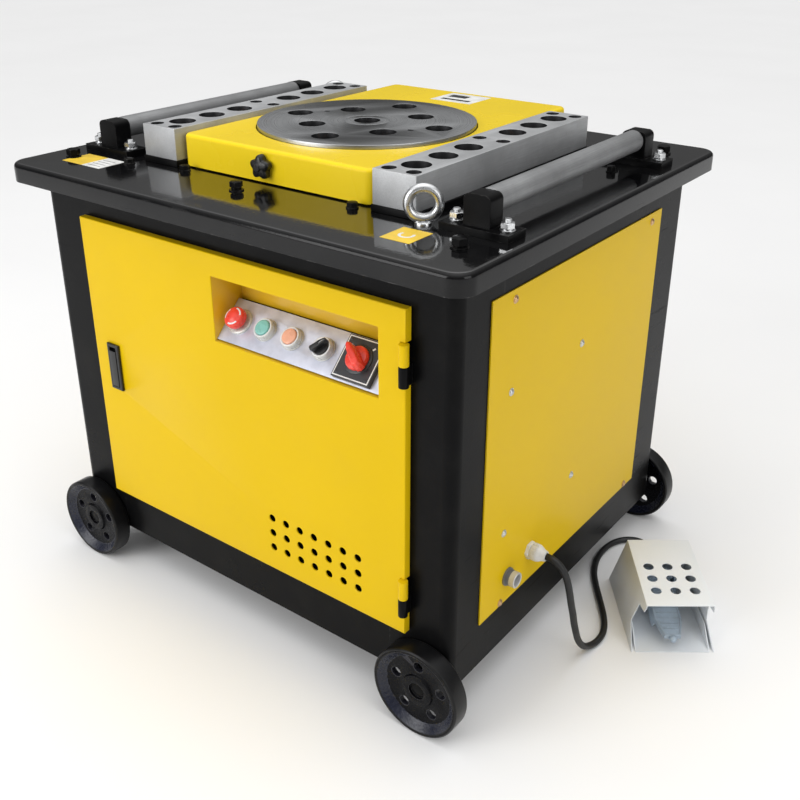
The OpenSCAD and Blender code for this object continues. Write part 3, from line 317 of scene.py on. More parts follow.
def plated(name, rgb, rough):
    """Zinc or similar plating: faint spangle, dull patches, edges lighter as a painted highlight."""
    n = Nodes(name)
    cloud = n.noise(60.0, 4.0)
    colour = n.mix(n.span(cloud, 0.35, 0.65), shade(rgb, 0.8), shade(rgb, 1.08))
    # painted highlight: the edges lighter than the plating
    colour = n.mix(n.math("MULTIPLY", n.edges(0.0008), 0.5), colour, shade(rgb, 1.3))
    gloss = n.span(n.noise(140.0, 3.0), 0.3, 0.7, rough - 0.06, rough + 0.1)
    return n.done(Base_Color=colour, Metallic=1.0, Roughness=gloss, Normal=n.bump(cloud, 0.0002, 0.3))


def cast(name, rgb, rough, paint=0.6, gleam=0.5):
    """Painted sand casting: pebbled skin with its raised lumps lighter as a painted highlight, paler
    where the edges are rubbed.
    """
    n = Nodes(name)
    pebble = n.noise(190.0, 5.0, 0.6)
    cloud = n.noise(16.0, 4.0)
    colour = n.mix(n.span(cloud, 0.35, 0.7), shade(rgb, 0.8), shade(rgb, 1.2))
    # painted highlight: the pebble's raised lumps are lighter, as if lit
    colour = n.mix(n.span(pebble, 0.55, 0.8, 0.0, 0.4), colour, shade(rgb, 1.6))
    colour = n.mix(n.math("MULTIPLY", n.edges(0.0015), paint), colour, (0.32, 0.32, 0.33))
    gloss = n.span(pebble, 0.3, 0.7, rough - 0.08, rough + 0.1)
    return n.done(Base_Color=colour, Metallic=0.0, Roughness=gloss, Normal=n.bump(pebble, 0.0010, 0.7),
                  Specular_IOR_Level=gleam)


def moulded(name, rgb, rough, grain=900.0, metal=0.0):
    """Moulded plastic or rubber: fine grain, faint mottling, handling marks."""
    n = Nodes(name)
    cloud = n.noise(40.0, 3.0)
    colour = n.mix(n.span(cloud, 0.35, 0.65), shade(rgb, 0.9), shade(rgb, 1.1))
    rub = n.math("MULTIPLY", n.edges(0.0008), 0.35)
    colour = n.mix(rub, colour, tuple(c + (0.35 - c) * 0.35 for c in rgb))
    fine = n.noise(grain, 2.0)
    gloss = n.math("ADD", n.span(cloud, 0.3, 0.7, rough - 0.05, rough + 0.07), rub)
    return n.done(Base_Color=colour, Metallic=metal, Roughness=gloss, Normal=n.bump(fine, 0.0001, 0.4))


BLACK_PAINT = enamel("black_enamel", (0.0035, 0.0035, 0.0038), 0.30, chips=0.2, dust_amount=0.006,
                     coat=0.0, gleam=0.07)
TABLE_PAINT = enamel("table_enamel", (0.003, 0.003, 0.0035), 0.09, peel=150.0, chips=0.2,
                     dust_amount=0.008, coat=0.3, ior=1.7)
RIM_PAINT = enamel("rim_enamel", (0.003, 0.003, 0.0035), 0.16, chips=0.35, dust_amount=0.008,
                   coat=0.0, gleam=0.24)
YELLOW_PAINT = enamel("yellow_enamel", (0.72, 0.475, 0.003), 0.32, chips=0.15, dust_amount=0.006,
                      patchy=0.02, coat=0.0, gleam=0.10, scuff=0.0)
# The cover has the panels' yellow paint, made lighter here as painted light standing in for light its
# front lacks.
COVER_PAINTED_LIGHT_YELLOW = enamel("cover_yellow_painted_light", (0.94, 0.68, 0.014), 0.26, chips=0.15, dust_amount=0.006,
                     patchy=0.02, coat=0.05, gleam=0.2, scuff=0.0)
# The control recess has the door's yellow paint, made darker and more orange here as painted shade inside
# the recess.
RECESS_PAINTED_SHADE_YELLOW = enamel("recess_yellow_painted_shade", (0.72, 0.44, 0.010), 0.34, chips=0.15, dust_amount=0.01,
                     patchy=0.02)
WHITE_PAINT = enamel("white_powder_coat", (0.75, 0.78, 0.81), 0.42, peel=420.0, chips=0.15,
                     dust_amount=0.01, coat=0.0)
GREY_PAINT = enamel("grey_machine_enamel", (0.10, 0.13, 0.16), 0.42)
STEEL = machined("machined_steel", (0.42, 0.43, 0.44), 0.36)
BAR_STEEL = machined("milled_steel", (0.62, 0.63, 0.64), 0.48, grain=(1.0, 0.05, 1.0), rust=0.08,
                     metal=0.55)
ROLLER_STEEL = machined("drawn_steel", (0.36, 0.365, 0.37), 0.55, grain=(1.0, 0.04, 1.0), rust=0.06,
                        metal=0.7)
DISC_STEEL = turned_steel("faced_steel", (0.46, 0.47, 0.48), 0.30, at(0, 0, 785))
# Near-black steel for the walls of the bores: painted shade inside the holes.
BORE_PAINTED_SHADE_STEEL = machined("bore_wall_painted_shade", (0.06, 0.06, 0.063), 0.55, rust=0.2)
ZINC = plated("zinc_plate", (0.66, 0.67, 0.68), 0.28)
COPPER = plated("copper_coloured_plate", (0.62, 0.42, 0.24), 0.30)
BRONZE = machined("cast_bronze", (0.50, 0.33, 0.13), 0.4, rust=0.0)
TREAD_IRON = enamel("wheel_tread_enamel", (0.004, 0.004, 0.0045), 0.34, peel=120.0, chips=0.2,
                    dust_amount=0.01, coat=0.0, gleam=0.25)
RIM_IRON = cast("wheel_rim_casting", (0.012, 0.014, 0.026), 0.26, paint=0.3, gleam=0.4)
WEB_IRON = cast("wheel_web_casting", (0.003, 0.003, 0.004), 0.26, paint=0.2, gleam=0.10)
HOLE_IRON = cast("wheel_hole_casting", (0.018, 0.018, 0.024), 0.26, paint=0.2, gleam=0.25)
PEDAL_CAST = cast("pedal_casting", (0.38, 0.46, 0.54), 0.38, paint=0.35)
BLACK_PLASTIC = moulded("black_plastic", (0.005, 0.005, 0.0055), 0.34)
WHITE_PLASTIC = moulded("white_nylon", (0.74, 0.75, 0.76), 0.30)
SLEEVE = moulded("inlet_sleeve_grey", (0.60, 0.60, 0.60), 0.32, metal=0.35)
DARK_PLASTIC = moulded("dark_grey_plastic", (0.030, 0.032, 0.036), 0.42)
RED_PLASTIC = moulded("red_plastic", (0.80, 0.055, 0.035), 0.26)
GREEN_PLASTIC = moulded("green_plastic", (0.22, 0.52, 0.47), 0.25)
ORANGE_PLASTIC = moulded("orange_plastic", (0.84, 0.42, 0.28), 0.28)
BRUSHED_SHEET = moulded("pale_control_sheet", (0.60, 0.62, 0.72), 0.36, metal=0.35)
RUBBER = moulded("cable_rubber", (0.005, 0.005, 0.0055), 0.45, grain=1400.0)
COLLAR = moulded("collar_grey", (0.62, 0.62, 0.59), 0.28, metal=0.25)
MARK_WHITE = moulded("printed_white", (0.80, 0.80, 0.78), 0.5)
MARK_YELLOW = moulded("printed_yellow", (0.86, 0.58, 0.04), 0.42)
MARK_BLACK = moulded("printed_black", (0.02, 0.02, 0.02), 0.45)
# Dark grey for the inlet's threaded root: painted shade in the thread.
THREAD_PAINTED_SHADE_GREY = moulded("thread_painted_shade", (0.17, 0.17, 0.17), 0.4, metal=0.3)

LOOK = {
    BLACK_PAINT: "corner_posts bottom_rails top_rails floor_plate hinge_pins wheel_axles "
                 "bar_base_plates roller_brackets table_bolts",
    TABLE_PAINT: "table_top",
    YELLOW_PAINT: "side_panel_right side_panel_left rear_panel door_panel door_hinge_barrels",
    COVER_PAINTED_LIGHT_YELLOW: "turntable_cover",
    RECESS_PAINTED_SHADE_YELLOW: "control_recess",
    WHITE_PAINT: "pedal_tray pedal_hood electric_box",
    GREY_PAINT: "gearbox_housing motor_housing",
    STEEL: "shaft_bearings main_shaft worm_shaft motor_pulley",
    BAR_STEEL: "pin_bar_left pin_bar_right",
    ROLLER_STEEL: "roller_left roller_right",
    DISC_STEEL: "turntable_disc mandrel_bush",
    ZINC: "bracket_bolts eye_bolts power_inlet button_bezels",
    COPPER: "panel_screws",
    BRONZE: "worm_wheel",
    WEB_IRON: "wheel_front_left wheel_front_right wheel_rear_left wheel_rear_right driven_pulley",
    PEDAL_CAST: "pedal_switch foot_pedal",
    BLACK_PLASTIC: "lock_housing lock_lever selector_knob star_knob",
    WHITE_PLASTIC: "cable_gland estop_collar",
    DARK_PLASTIC: "switch_plate",
    RED_PLASTIC: "estop_button switch_handle",
    GREEN_PLASTIC: "green_button",
    ORANGE_PLASTIC: "orange_button",
    BRUSHED_SHEET: "control_plate",
    RUBBER: "drive_belts pedal_strain_relief pedal_cord",
}

for look, names in LOOK.items():
    for name in names.split():
        node = nodes[name]
        node.data.materials.clear()
        node.data.materials.append(look)
cable.data.materials.append(RUBBER)

# ---- Mesh helpers ------------------------------------------------------------------------------

MM = 0.001
TABLE_Z = 727  # mm, the table's flat top
COVER_Z = 778.8
SIDE_X = 405.5  # mm, the side panels' outer faces
BODY_OF = {name: node["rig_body"] for name, node in nodes.items()}


def finish_piece(name, bm, looks, stands_for=(), body=None, smooth=40.0):
    """Turns a bmesh into a piece that rides with its body and stands for the CAD nodes it replaces."""
    mesh = bpy.data.meshes.new(name)
    bmesh.ops.recalc_face_normals(bm, faces=bm.faces)
    bm.to_mesh(mesh)
    bm.free()
    for look in looks if isinstance(looks, (list, tuple)) else [looks]:
        mesh.materials.append(look)
    mesh.shade_smooth()
    mesh.set_sharp_from_angle(angle=math.radians(smooth))
    piece = bpy.data.objects.new(name, mesh)
    bpy.context.scene.collection.objects.link(piece)
    first = stands_for[0] if stands_for else None
    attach(piece, body or BODY_OF[first])
    if stands_for:
        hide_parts(*stands_for)
    return piece


def bevel_edges(bm, edges, width, segments=2):
    if edges:
        bmesh.ops.bevel(bm, geom=edges, offset=width, offset_type="OFFSET", segments=segments,
                        profile=0.6, affect="EDGES", clamp_overlap=True)


def sharp_edges(bm, angle):
    limit = math.radians(angle)
    return [e for e in bm.edges if e.is_manifold and e.calc_face_angle(0.0) > limit]


def node_bmesh(name):
    """The CAD node's mesh, welded, with its flat faces whole again."""
    bm = bmesh.new()
    bm.from_mesh(nodes[name].data)
    for layer in list(bm.loops.layers.float_vector.values()):
        bm.loops.layers.float_vector.remove(layer)
    bmesh.ops.remove_doubles(bm, verts=bm.verts, dist=2e-6)
    bmesh.ops.dissolve_limit(bm, angle_limit=math.radians(0.5), verts=bm.verts, edges=bm.edges)
    return bm


def rounded(name, width, segments=2, angle=40.0, keep=None):
    """The CAD node with its edges rounded; keep picks the edges to round."""
    bm = node_bmesh(name)
    edges = sharp_edges(bm, angle)
    if keep:
        edges = [e for e in edges if keep(e)]
    bevel_edges(bm, edges, width, segments)
    finish_piece(name + "_shaped", bm, nodes[name].data.materials[0], [name])


def lathe(bm, profile, place=Matrix.Identity(4), steps=48, material=0):
    """Turns (radius, height) points, in metres, about Z."""
    rings = []
    for r, z in profile:
        if r < 1e-9:
            rings.append([bm.verts.new(place @ Vector((0, 0, z)))])
        else:
            ring = []
            for k in range(steps):
                a = 2 * math.pi * k / steps
                ring.append(bm.verts.new(place @ Vector((r * math.cos(a), r * math.sin(a), z))))
            rings.append(ring)
    for low, high in zip(rings, rings[1:]):
        for k in range(steps):
            a, b = low[k % len(low)], low[(k + 1) % len(low)]
            c, d = high[(k + 1) % len(high)], high[k % len(high)]
            corners = [v for i, v in enumerate((a, b, c, d)) if v not in (a, b, c, d)[:i]]
            if len(corners) > 2:
                bm.faces.new(corners).material_index = material


def points(*pairs):
    """Millimetre pairs in metres."""
    return [(r * MM, z * MM) for r, z in pairs]


def block(bm, low, high, place=Matrix.Identity(4), width=0.0, segments=2, material=0):
    """A box between two corners, its edges rounded by width."""
    made = bmesh.ops.create_cube(bm, size=1.0)["verts"]
    low, high = Vector(low), Vector(high)
    for v in made:
        v.co = place @ Vector(tuple(low[i] + (v.co[i] + 0.5) * (high[i] - low[i]) for i in range(3)))
    for f in {f for v in made for f in v.link_faces}:
        f.material_index = material
    bevel_edges(bm, list({e for v in made for e in v.link_edges}) if width else [], width, segments)


def prism(bm, outline, low, high, place, width, segments):
    """An outline of (x, y) points pulled from low to high along Z; its end rims are rounded."""
    bottom = [bm.verts.new(place @ Vector((x, y, low))) for x, y in outline]
    top = [bm.verts.new(place @ Vector((x, y, high))) for x, y in outline]
    n = len(outline)
    faces = [bm.faces.new(bottom[::-1]), bm.faces.new(top)]
    faces += [bm.faces.new((bottom[i], bottom[(i + 1) % n], top[(i + 1) % n], top[i])) for i in range(n)]
    bevel_edges(bm, list(faces[0].edges) + list(faces[1].edges), width, segments)


def hex_head(bm, across, height, place):
    """A hexagon head whose top is chamfered by a cone, as on a real bolt."""
    steps = 36
    flat = across / 2
    inner = flat * 0.93
    rings = []
    for level in ("low", "high", "crown"):
        ring = []
        for k in range(steps):
            a = 2 * math.pi * k / steps
            r = flat / math.cos((a % (math.pi / 3)) - math.pi / 6)
            if level == "crown":
                r, z = inner, height
            else:
                z = 0.0 if level == "low" else height - (r - inner) * 0.55
            ring.append(bm.verts.new(place @ Vector((r * math.cos(a), r * math.sin(a), z))))
        rings.append(ring)
    for low, high in zip(rings, rings[1:]):
        for k in range(steps):
            bm.faces.new((low[k], low[(k + 1) % steps], high[(k + 1) % steps], high[k]))
    bm.faces.new(rings[-1])
    bm.faces.new(rings[0][::-1])


def turned(axis, place):
    """A matrix at place whose Z points along axis."""
    return Matrix.Translation(place) @ Vector(axis).to_track_quat("Z", "Y").to_matrix().to_4x4()


# ---- Table, cover, disc and bars -----------------------------------------------------------------


def bored(name, width, disc):
    """The CAD node with its edges rounded and its bore walls darkened as painted shade."""
    bm = node_bmesh(name)
    bevel_edges(bm, sharp_edges(bm, 50.0), width)
    low = [min(v.co[i] for v in bm.verts) for i in range(2)]
    high = [max(v.co[i] for v in bm.verts) for i in range(2)]
    middle = [(a + b) / 2 for a, b in zip(low, high)]
    for face in bm.faces:
        spot = face.calc_center_median()
        if disc:
            margin = (high[0] - low[0]) / 2 - math.hypot(spot.x - middle[0], spot.y - middle[1])
        else:
            margin = min(min(spot[i] - low[i], high[i] - spot[i]) for i in range(2))
        # bore walls away from the outer sides take the dark painted shade
        face.material_index = 1 if abs(face.normal.z) < 0.3 and margin > 0.003 else 0
    finish_piece(name + "_shaped", bm, [nodes[name].data.materials[0], BORE_PAINTED_SHADE_STEEL], [name])


for name, width, disc in (("turntable_disc", 0.0009, True), ("mandrel_bush", 0.0008, True),
                          ("pin_bar_left", 0.0010, False), ("pin_bar_right", 0.0010, False)):
    bored(name, width, disc)
rounded("bar_base_plates", 0.0012)


def make_table_top():
    """The CAD table; its flat top is mirror-smooth, its rolled rim is sprayed duller."""
    bm = node_bmesh("table_top")
    for face in bm.faces:
        face.material_index = 0 if face.normal.z > 0.9 else 1
    finish_piece("table_top_rolled", bm, [TABLE_PAINT, RIM_PAINT], ["table_top"], smooth=35.0)


make_table_top()
rounded("roller_brackets", 0.0016, segments=3, angle=50.0)
for roller in ("roller_left", "roller_right"):
    rounded(roller, 0.0012, angle=50.0)


def bolt(bm, place, across, head, washer_r, washer_t, spring=0.0, stud=0.0):
    """Washer, spring washer, hexagon head and the thread's end, in millimetres up place's Z."""
    lathe(bm, [(0, 0), (washer_r * MM, 0), (washer_r * MM, washer_t * MM * 0.8),
               ((washer_r - 0.4) * MM, washer_t * MM), (0, washer_t * MM)], place)
    z = washer_t
    if spring:
        lathe(bm, [(0, z * MM), (across * 0.44 * MM, z * MM), (across * 0.44 * MM, (z + spring) * MM),
                   (0, (z + spring) * MM)], place, steps=32)
        z += spring
    hex_head(bm, across * MM, head * MM, place @ Matrix.Translation((0, 0, z * MM)))
    if stud:
        z += head
        r = across * 0.30
        turns = [(r * MM, z * MM)]
        for k in range(int(stud / 1.25)):
            turns += [((r - 0.5) * MM, (z + 1.25 * k + 0.6) * MM), (r * MM, (z + 1.25 * k + 1.2) * MM)]
        turns += [((r - 0.8) * MM, (z + stud) * MM), (0, (z + stud) * MM)]
        lathe(bm, turns, place, steps=24)


def make_bracket_bolts():
    bm = bmesh.new()
    for x in (-350, 364):
        for y in (-225, 225):
            for s in (-38, 38):
                bolt(bm, Matrix.Translation(at(x + s, y, 737)), 17, 7, 10, 1.6, spring=2.2, stud=4.5)
    finish_piece("bracket_bolts_detailed", bm, ZINC, ["bracket_bolts"], smooth=32.0)


def make_table_bolts():
    bm = bmesh.new()
    for x in (-375, 375):
        for y in (-291, 305):
            bolt(bm, Matrix.Translation(at(x, y, TABLE_Z)), 19, 9, 12, 2, spring=2.5)
    bolt(bm, Matrix.Translation(at(-22, -274, TABLE_Z)), 17, 8, 11, 2, spring=4)
    for x, y in ((-165, -243), (167, -242), (-268, -266)):
        bolt(bm, Matrix.Translation(at(x, y, TABLE_Z)), 14, 7, 9, 2)
    for x in (-345, 360):
        bolt(bm, Matrix.Translation(at(x, 146, TABLE_Z)), 13, 8, 8, 1.5)
    finish_piece("table_bolts_detailed", bm, BLACK_PAINT, ["table_bolts"], smooth=32.0)


make_bracket_bolts()
make_table_bolts()


def make_star_knob():
    """Five rounded lobes with a domed face and a hub, turned about -Y."""
    bm = bmesh.new()
    place = turned((0, -1, 0), at(-12.5, -225, 754))
    lobes, steps = 5, 90
    rows = [(0.55, 0.0), (0.93, 0.6), (1.0, 2.2), (1.0, 9.0), (0.97, 11.0), (0.86, 12.8), (0.62, 13.8),
            (0.34, 14.2), (0.30, 16.0), (0.24, 16.8)]
    rings = []
    for share, z in rows:
        ring = []
        for k in range(steps):
            a = 2 * math.pi * k / steps
            wave = 0.5 + 0.5 * math.cos(lobes * (a - 0.31))
            outer = 13.2 + 5.3 * wave ** 0.8
            r = outer * share if share > 0.5 else 19.0 * share
            ring.append(bm.verts.new(place @ (Vector((r * math.cos(a), r * math.sin(a), z)) * MM)))
        rings.append(ring)
    for low, high in zip(rings, rings[1:]):
        for k in range(steps):
            bm.faces.new((low[k], low[(k + 1) % steps], high[(k + 1) % steps], high[k]))
    bm.faces.new(rings[0][::-1])
    bm.faces.new(rings[-1])
    lathe(bm, [(0.0, -5 * MM), (4 * MM, -5 * MM), (4 * MM, 1 * MM)], place, steps=32)
    finish_piece("star_knob_lobed", bm, BLACK_PLASTIC, ["star_knob"], smooth=35.0)


make_star_knob()


def make_eye_bolts():
    """Drop-forged ring blended into its shoulder, on a flat collar."""
    bm = bmesh.new()
    turn = Matrix.Rotation(math.radians(36.87), 4, "Z") @ Matrix.Rotation(math.radians(90), 4, "X")
    for x, y in ((286, -242), (-292, 265)):
        foot = Matrix.Translation(at(x, y, TABLE_Z))
        centre = Matrix.Translation(at(x, y, TABLE_Z + 27.8)) @ turn
        major, minor = 72, 20
        rings = []
        for i in range(major):
            a = 2 * math.pi * i / major
            low = max(0.0, -math.sin(a)) ** 6  # the ring thickens where it meets the shoulder
            tube = 6.7 + 0.6 * low
            ring = []
            for k in range(minor):
                b = 2 * math.pi * k / minor
                r = 20.3 + tube * math.cos(b)
                ring.append(bm.verts.new(centre @ (Vector((r * math.cos(a), r * math.sin(a),
                                                           tube * math.sin(b))) * MM)))
            rings.append(ring)
        for i in range(major):
            for k in range(minor):
                bm.faces.new((rings[i][k], rings[i][(k + 1) % minor],
                              rings[(i + 1) % major][(k + 1) % minor], rings[(i + 1) % major][k]))
        lathe(bm, points((0, 0), (12, 0), (12, 3.2), (11.2, 4.4), (9.4, 4.8), (8.0, 5.8), (0, 6.0)), foot)
    finish_piece("eye_bolts_forged", bm, ZINC, ["eye_bolts"], smooth=45.0)


make_eye_bolts()

# ---- Door, controls and lock ---------------------------------------------------------------------

PLATE = Matrix.Translation(at(0, -341.8, 521)) @ Matrix.Rotation(math.radians(45), 4, "X")


ESTOP_X, GREEN_X, ORANGE_X, SELECTOR_X, SWITCH_X = 14, 65, 117, 175, 241  # mm along the plate
ROW_UP = 34.5  # mm up the slope


def control(x):
    """Where a control stands on the sloping plate, its Z along the plate's normal."""
    return PLATE @ Matrix.Translation(Vector((x, ROW_UP, 0)) * MM)


rounded("door_panel", 0.0022, segments=3, angle=50.0,
        keep=lambda e: min(v.co.y for v in e.verts) < at(0, -345.5, 0).y and e.calc_length() > 0.05)
rounded("control_recess", 0.0006)
rounded("door_hinge_barrels", 0.0008, angle=50.0)
rounded("hinge_pins", 0.0008, angle=50.0)
rounded("control_plate", 0.0004, angle=60.0)


def make_estop():
    bm = bmesh.new()
    place = control(ESTOP_X)
    lathe(bm, points((0, -9), (8, -9), (8, 9), (14.5, 9), (16.1, 9.6), (16.5, 11), (16.5, 16),
                     (16.1, 18.2), (15.0, 19.9), (13.2, 21.2), (10.8, 21.9), (9.6, 22.0), (8.8, 22.6),
                     (7, 23.3), (4, 23.9), (0, 24)), place, steps=64)
    dome = [(11.4, 21.75), (12.5, 21.45), (13.6, 20.9)]
    for turn in range(3):
        start = math.radians(120 * turn + 20)
        count = 14
        for inner, outer in zip(dome, dome[1:]):
            for k in range(count):
                a, b = start + math.radians(70) * k / count, start + math.radians(70) * (k + 1) / count
                corners = [(inner, a), (outer, a), (outer, b), (inner, b)]
                face = bm.faces.new([bm.verts.new(place @ (Vector(
                    (p[0] * math.cos(t), p[0] * math.sin(t), p[1] + 0.12)) * MM)) for p, t in corners])
                face.material_index = 1
    finish_piece("estop_mushroom", bm, [RED_PLASTIC, WHITE_PLASTIC], ["estop_button"], smooth=38.0)
    bm = bmesh.new()
    lathe(bm, points((8.3, -40), (13, -40), (13, -20), (11, -19), (11, 0), (20, 0), (20, 1.8),
                     (19.4, 2.8), (18, 3.3), (12, 3.6), (8.5, 3.6), (8.3, 3.3), (8.3, -16)),
          place, steps=64)
    finish_piece("estop_collar_turned", bm, COLLAR, ["estop_collar"])


def make_bezels():
    bm = bmesh.new()
    for x in (GREEN_X, ORANGE_X, SELECTOR_X):
        place = control(x)
        lathe(bm, points((8.3, -1), (17.6, 0), (17.6, 1.6), (17.2, 2.0), (16.4, 2.0)), place)
        lathe(bm, points((16.4, 2.0), (16.6, 2.6), (16.0, 7.6), (15.4, 9.4), (14.9, 10.1)), place)
        lathe(bm, points((14.9, 10.1), (14.2, 10.5), (13.2, 10.4), (12.3, 9.8), (12.1, 9.0), (12.1, 2.5),
                         (8.3, 2.5), (8.3, -16)), place, material=2)
        block(bm, Vector((-13, -13, -42)) * MM, Vector((13, 13, -20)) * MM, place, 0.8 * MM, material=1)
        lathe(bm, points((8.6, -20), (11, -20), (11, -1)), place, material=1)
    finish_piece("button_bezels_turned", bm, [COLLAR, DARK_PLASTIC, WHITE_PLASTIC], ["button_bezels"])


def make_cap(node, name, x, look):
    bm = bmesh.new()
    lathe(bm, points((0, -10), (8, -10), (8, 7.5), (11.7, 7.5), (11.75, 11.1), (11.4, 11.9),
                     (10.6, 12.3), (8, 12.45), (4, 12.5), (0, 12.5)), control(x), steps=64)
    finish_piece(name, bm, look, [node])


def make_selector():
    bm = bmesh.new()
    place = control(SELECTOR_X)
    lathe(bm, points((0, -10), (8, -10), (8, 2.9), (11.7, 2.9), (11.75, 10.4), (11.2, 11.3), (9, 11.6),
                     (0, 11.6)), place)
    grip = place @ Matrix.Rotation(math.radians(-40), 4, "Z")
    outline = [(-4.2, -11), (-2.5, -13), (2.5, -13), (4.2, -11), (3.4, 0), (3.0, 11.5), (1.8, 13.6),
               (-1.8, 13.6), (-3.0, 11.5), (-3.4, 0)]
    prism(bm, [(x * MM, y * MM) for x, y in outline], 11.0 * MM, 21 * MM, grip, 0.9 * MM, 3)
    block(bm, Vector((-0.8, 2, 20.9)) * MM, Vector((0.8, 12.3, 21.0)) * MM, grip, material=1)
    finish_piece("selector_grip", bm, [BLACK_PLASTIC, WHITE_PLASTIC], ["selector_knob"], smooth=35.0)


def make_switch():
    place = control(SWITCH_X)
    bm = bmesh.new()
    block(bm, Vector((-32, -32, 0)) * MM, Vector((32, 32, 8.2)) * MM, place, 1.2 * MM, 3)
    block(bm, Vector((-30.4, -30.4, 8.0)) * MM, Vector((30.4, 30.4, 8.7)) * MM, place, 0.3 * MM, 1,
          material=1)
    block(bm, Vector((-28.4, -28.4, 8.4)) * MM, Vector((28.4, 28.4, 9.0)) * MM, place, 0.2 * MM, 1)
    lathe(bm, points((5.05, 9), (22, 9), (21.4, 10.4), (20, 11), (5.05, 11), (5.05, -9)),
          place, steps=64)
    lathe(bm, points((6, -38), (20, -38), (22, -30), (22, -13), (15, -12), (15, 0.5)), place, steps=48)
    for turn in (-50, 40):
        mark = place @ Matrix.Rotation(math.radians(-turn), 4, "Z")
        block(bm, Vector((-1.3, 22.8, 8.9)) * MM, Vector((1.3, 27.4, 9.12)) * MM, mark, material=1)
    for x, y in ((-25, -25), (25, -25), (-25, 25), (25, 25)):
        spot = place @ Matrix.Translation(Vector((x, y, 9)) * MM)
        lathe(bm, points((0, -0.2), (2.2, -0.2), (2.2, 0.5), (1.6, 0.9), (0, 1.0)), spot, steps=20)
    finish_piece("switch_plate_framed", bm, [DARK_PLASTIC, MARK_WHITE], ["switch_plate"], smooth=35.0)
    bm = bmesh.new()
    lathe(bm, points((0, -9), (4.9, -9), (4.9, 11.5), (17.4, 11.5), (17.6, 13), (17.2, 15.5),
                     (15.5, 17.3), (12, 18.2), (0, 18.2)), place, steps=64)
    outline = [(-7.5, -17), (-5.5, -21), (0, -23), (5.5, -21), (7.5, -17), (7.8, 0), (6.4, 12),
               (3.2, 20.5), (0, 22.5), (-3.2, 20.5), (-6.4, 12), (-7.8, 0)]
    lower = [(x * MM, y * MM) for x, y in outline]
    heights = [(16.0, 1.0), (24.0, 0.96), (30.0, 0.74), (32.0, 0.52)]
    grip = place @ Matrix.Rotation(math.radians(50), 4, "Z")
    rings = [[bm.verts.new(grip @ Vector((x * s, y * (0.6 + 0.4 * s), z * MM))) for x, y in lower]
             for z, s in heights]
    count = len(lower)
    for low, high in zip(rings, rings[1:]):
        for k in range(count):
            bm.faces.new((low[k], low[(k + 1) % count], high[(k + 1) % count], high[k]))
    top = bm.faces.new(rings[-1])
    bm.faces.new(rings[0][::-1])
    bevel_edges(bm, list(top.edges), 0.8 * MM, 2)
    finish_piece("switch_handle_moulded", bm, RED_PLASTIC, ["switch_handle"], smooth=30.0)


make_estop()
make_bezels()
make_cap("green_button", "green_cap", GREEN_X, GREEN_PLASTIC)
make_cap("orange_button", "orange_cap", ORANGE_X, ORANGE_PLASTIC)
make_selector()
make_switch()

rounded("lock_housing", 0.0022, segments=3, angle=50.0, keep=lambda e: e.calc_length() > 0.02)
rounded("lock_lever", 0.0012, angle=50.0)


# ---- Side panel fittings ---------------------------------------------------------------------------


def make_panel_screws():
    """Pan heads with a crossed slot on a thin washer; the side ones are zinc, the top ones coppery."""
    bm = bmesh.new()
    spots = []
    for side in (-1, 1):
        for y in (-209, 209):
            spots += [((side * SIDE_X, 7 + y, z), (side, 0, 0), 1) for z in (151, 639)]
        for y in (-208, -6):
            spots += [((side * SIDE_X, 7 + y, z), (side, 0, 0), 0) for z in (275, 504)]
    spots += [((x, 348.5, z), (0, 1, 0), 1) for x in (-290, 290) for z in (151, 639)]
    for place, way, tone in spots:
        spot = turned(way, at(*place))
        lathe(bm, points((0, 0), (6.0, 0), (6.0, 0.6), (5.6, 0.9), (4.6, 0.9)), spot, steps=28,
              material=tone)
        lathe(bm, points((4.6, 0.9), (4.5, 1.8), (3.7, 2.6), (2.6, 2.95)), spot, steps=28, material=tone)
        lathe(bm, points((2.6, 2.95), (1.2, 1.5), (0, 1.3)), spot, steps=4, material=tone)
    finish_piece("panel_screws_slotted", bm, [ZINC, COPPER], ["panel_screws"], smooth=30.0)


def make_gland():
    bm = bmesh.new()
    spot = turned((1, 0, 0), at(SIDE_X, -121, 201))
    hex_head(bm, 25.2 * MM, 6 * MM, spot)
    lathe(bm, points((9.8, 5.5), (12.4, 6), (13, 7), (13, 16.5), (12.6, 18.5), (11.4, 21.2), (9.4, 24.4),
                     (8.4, 28.2), (7.8, 30.2), (6.4, 30.5), (5.6, 29.8), (5.6, 20)), spot, steps=48)
    for k in range(12):
        rib = spot @ Matrix.Rotation(2 * math.pi * k / 12, 4, "Z")
        block(bm, Vector((12.3, -1.3, 7.5)) * MM, Vector((13.5, 1.3, 16)) * MM, rib, 0.4 * MM, 2)
    lathe(bm, points((0, -12), (10.5, -12), (10.5, 0.2)), spot, steps=32)
    finish_piece("cable_gland_nuts", bm, WHITE_PLASTIC, ["cable_gland"], smooth=32.0)


def make_inlet():
    """Conduit sleeve: threaded root coloured dark grey as painted shade, smooth open mouth."""
    bm = bmesh.new()
    spot = turned((1, 0, 0), at(SIDE_X, -184, 189))
    thread = [(10.5, -13), (10.5, 0), (14.5, 0), (14.5, 2.6), (13.6, 3.0)]
    for k in range(4):
        thread += [(12.5, 3.2 + 1.4 * k), (11.7, 3.9 + 1.4 * k)]
    thread += [(12.0, 9.0)]
    # the threaded root takes the dark painted shade
    lathe(bm, points(*thread), spot, steps=48, material=1)
    lathe(bm, points((12.0, 9.0), (12.4, 9.3), (12.4, 17.3), (11.9, 18), (10.0, 18), (9.5, 17.5),
                     (9.5, 2), (0, 2)), spot, steps=48)
    finish_piece("power_inlet_sleeve", bm, [SLEEVE, THREAD_PAINTED_SHADE_GREY], ["power_inlet"], smooth=32.0)


make_panel_screws()
make_gland()
make_inlet()

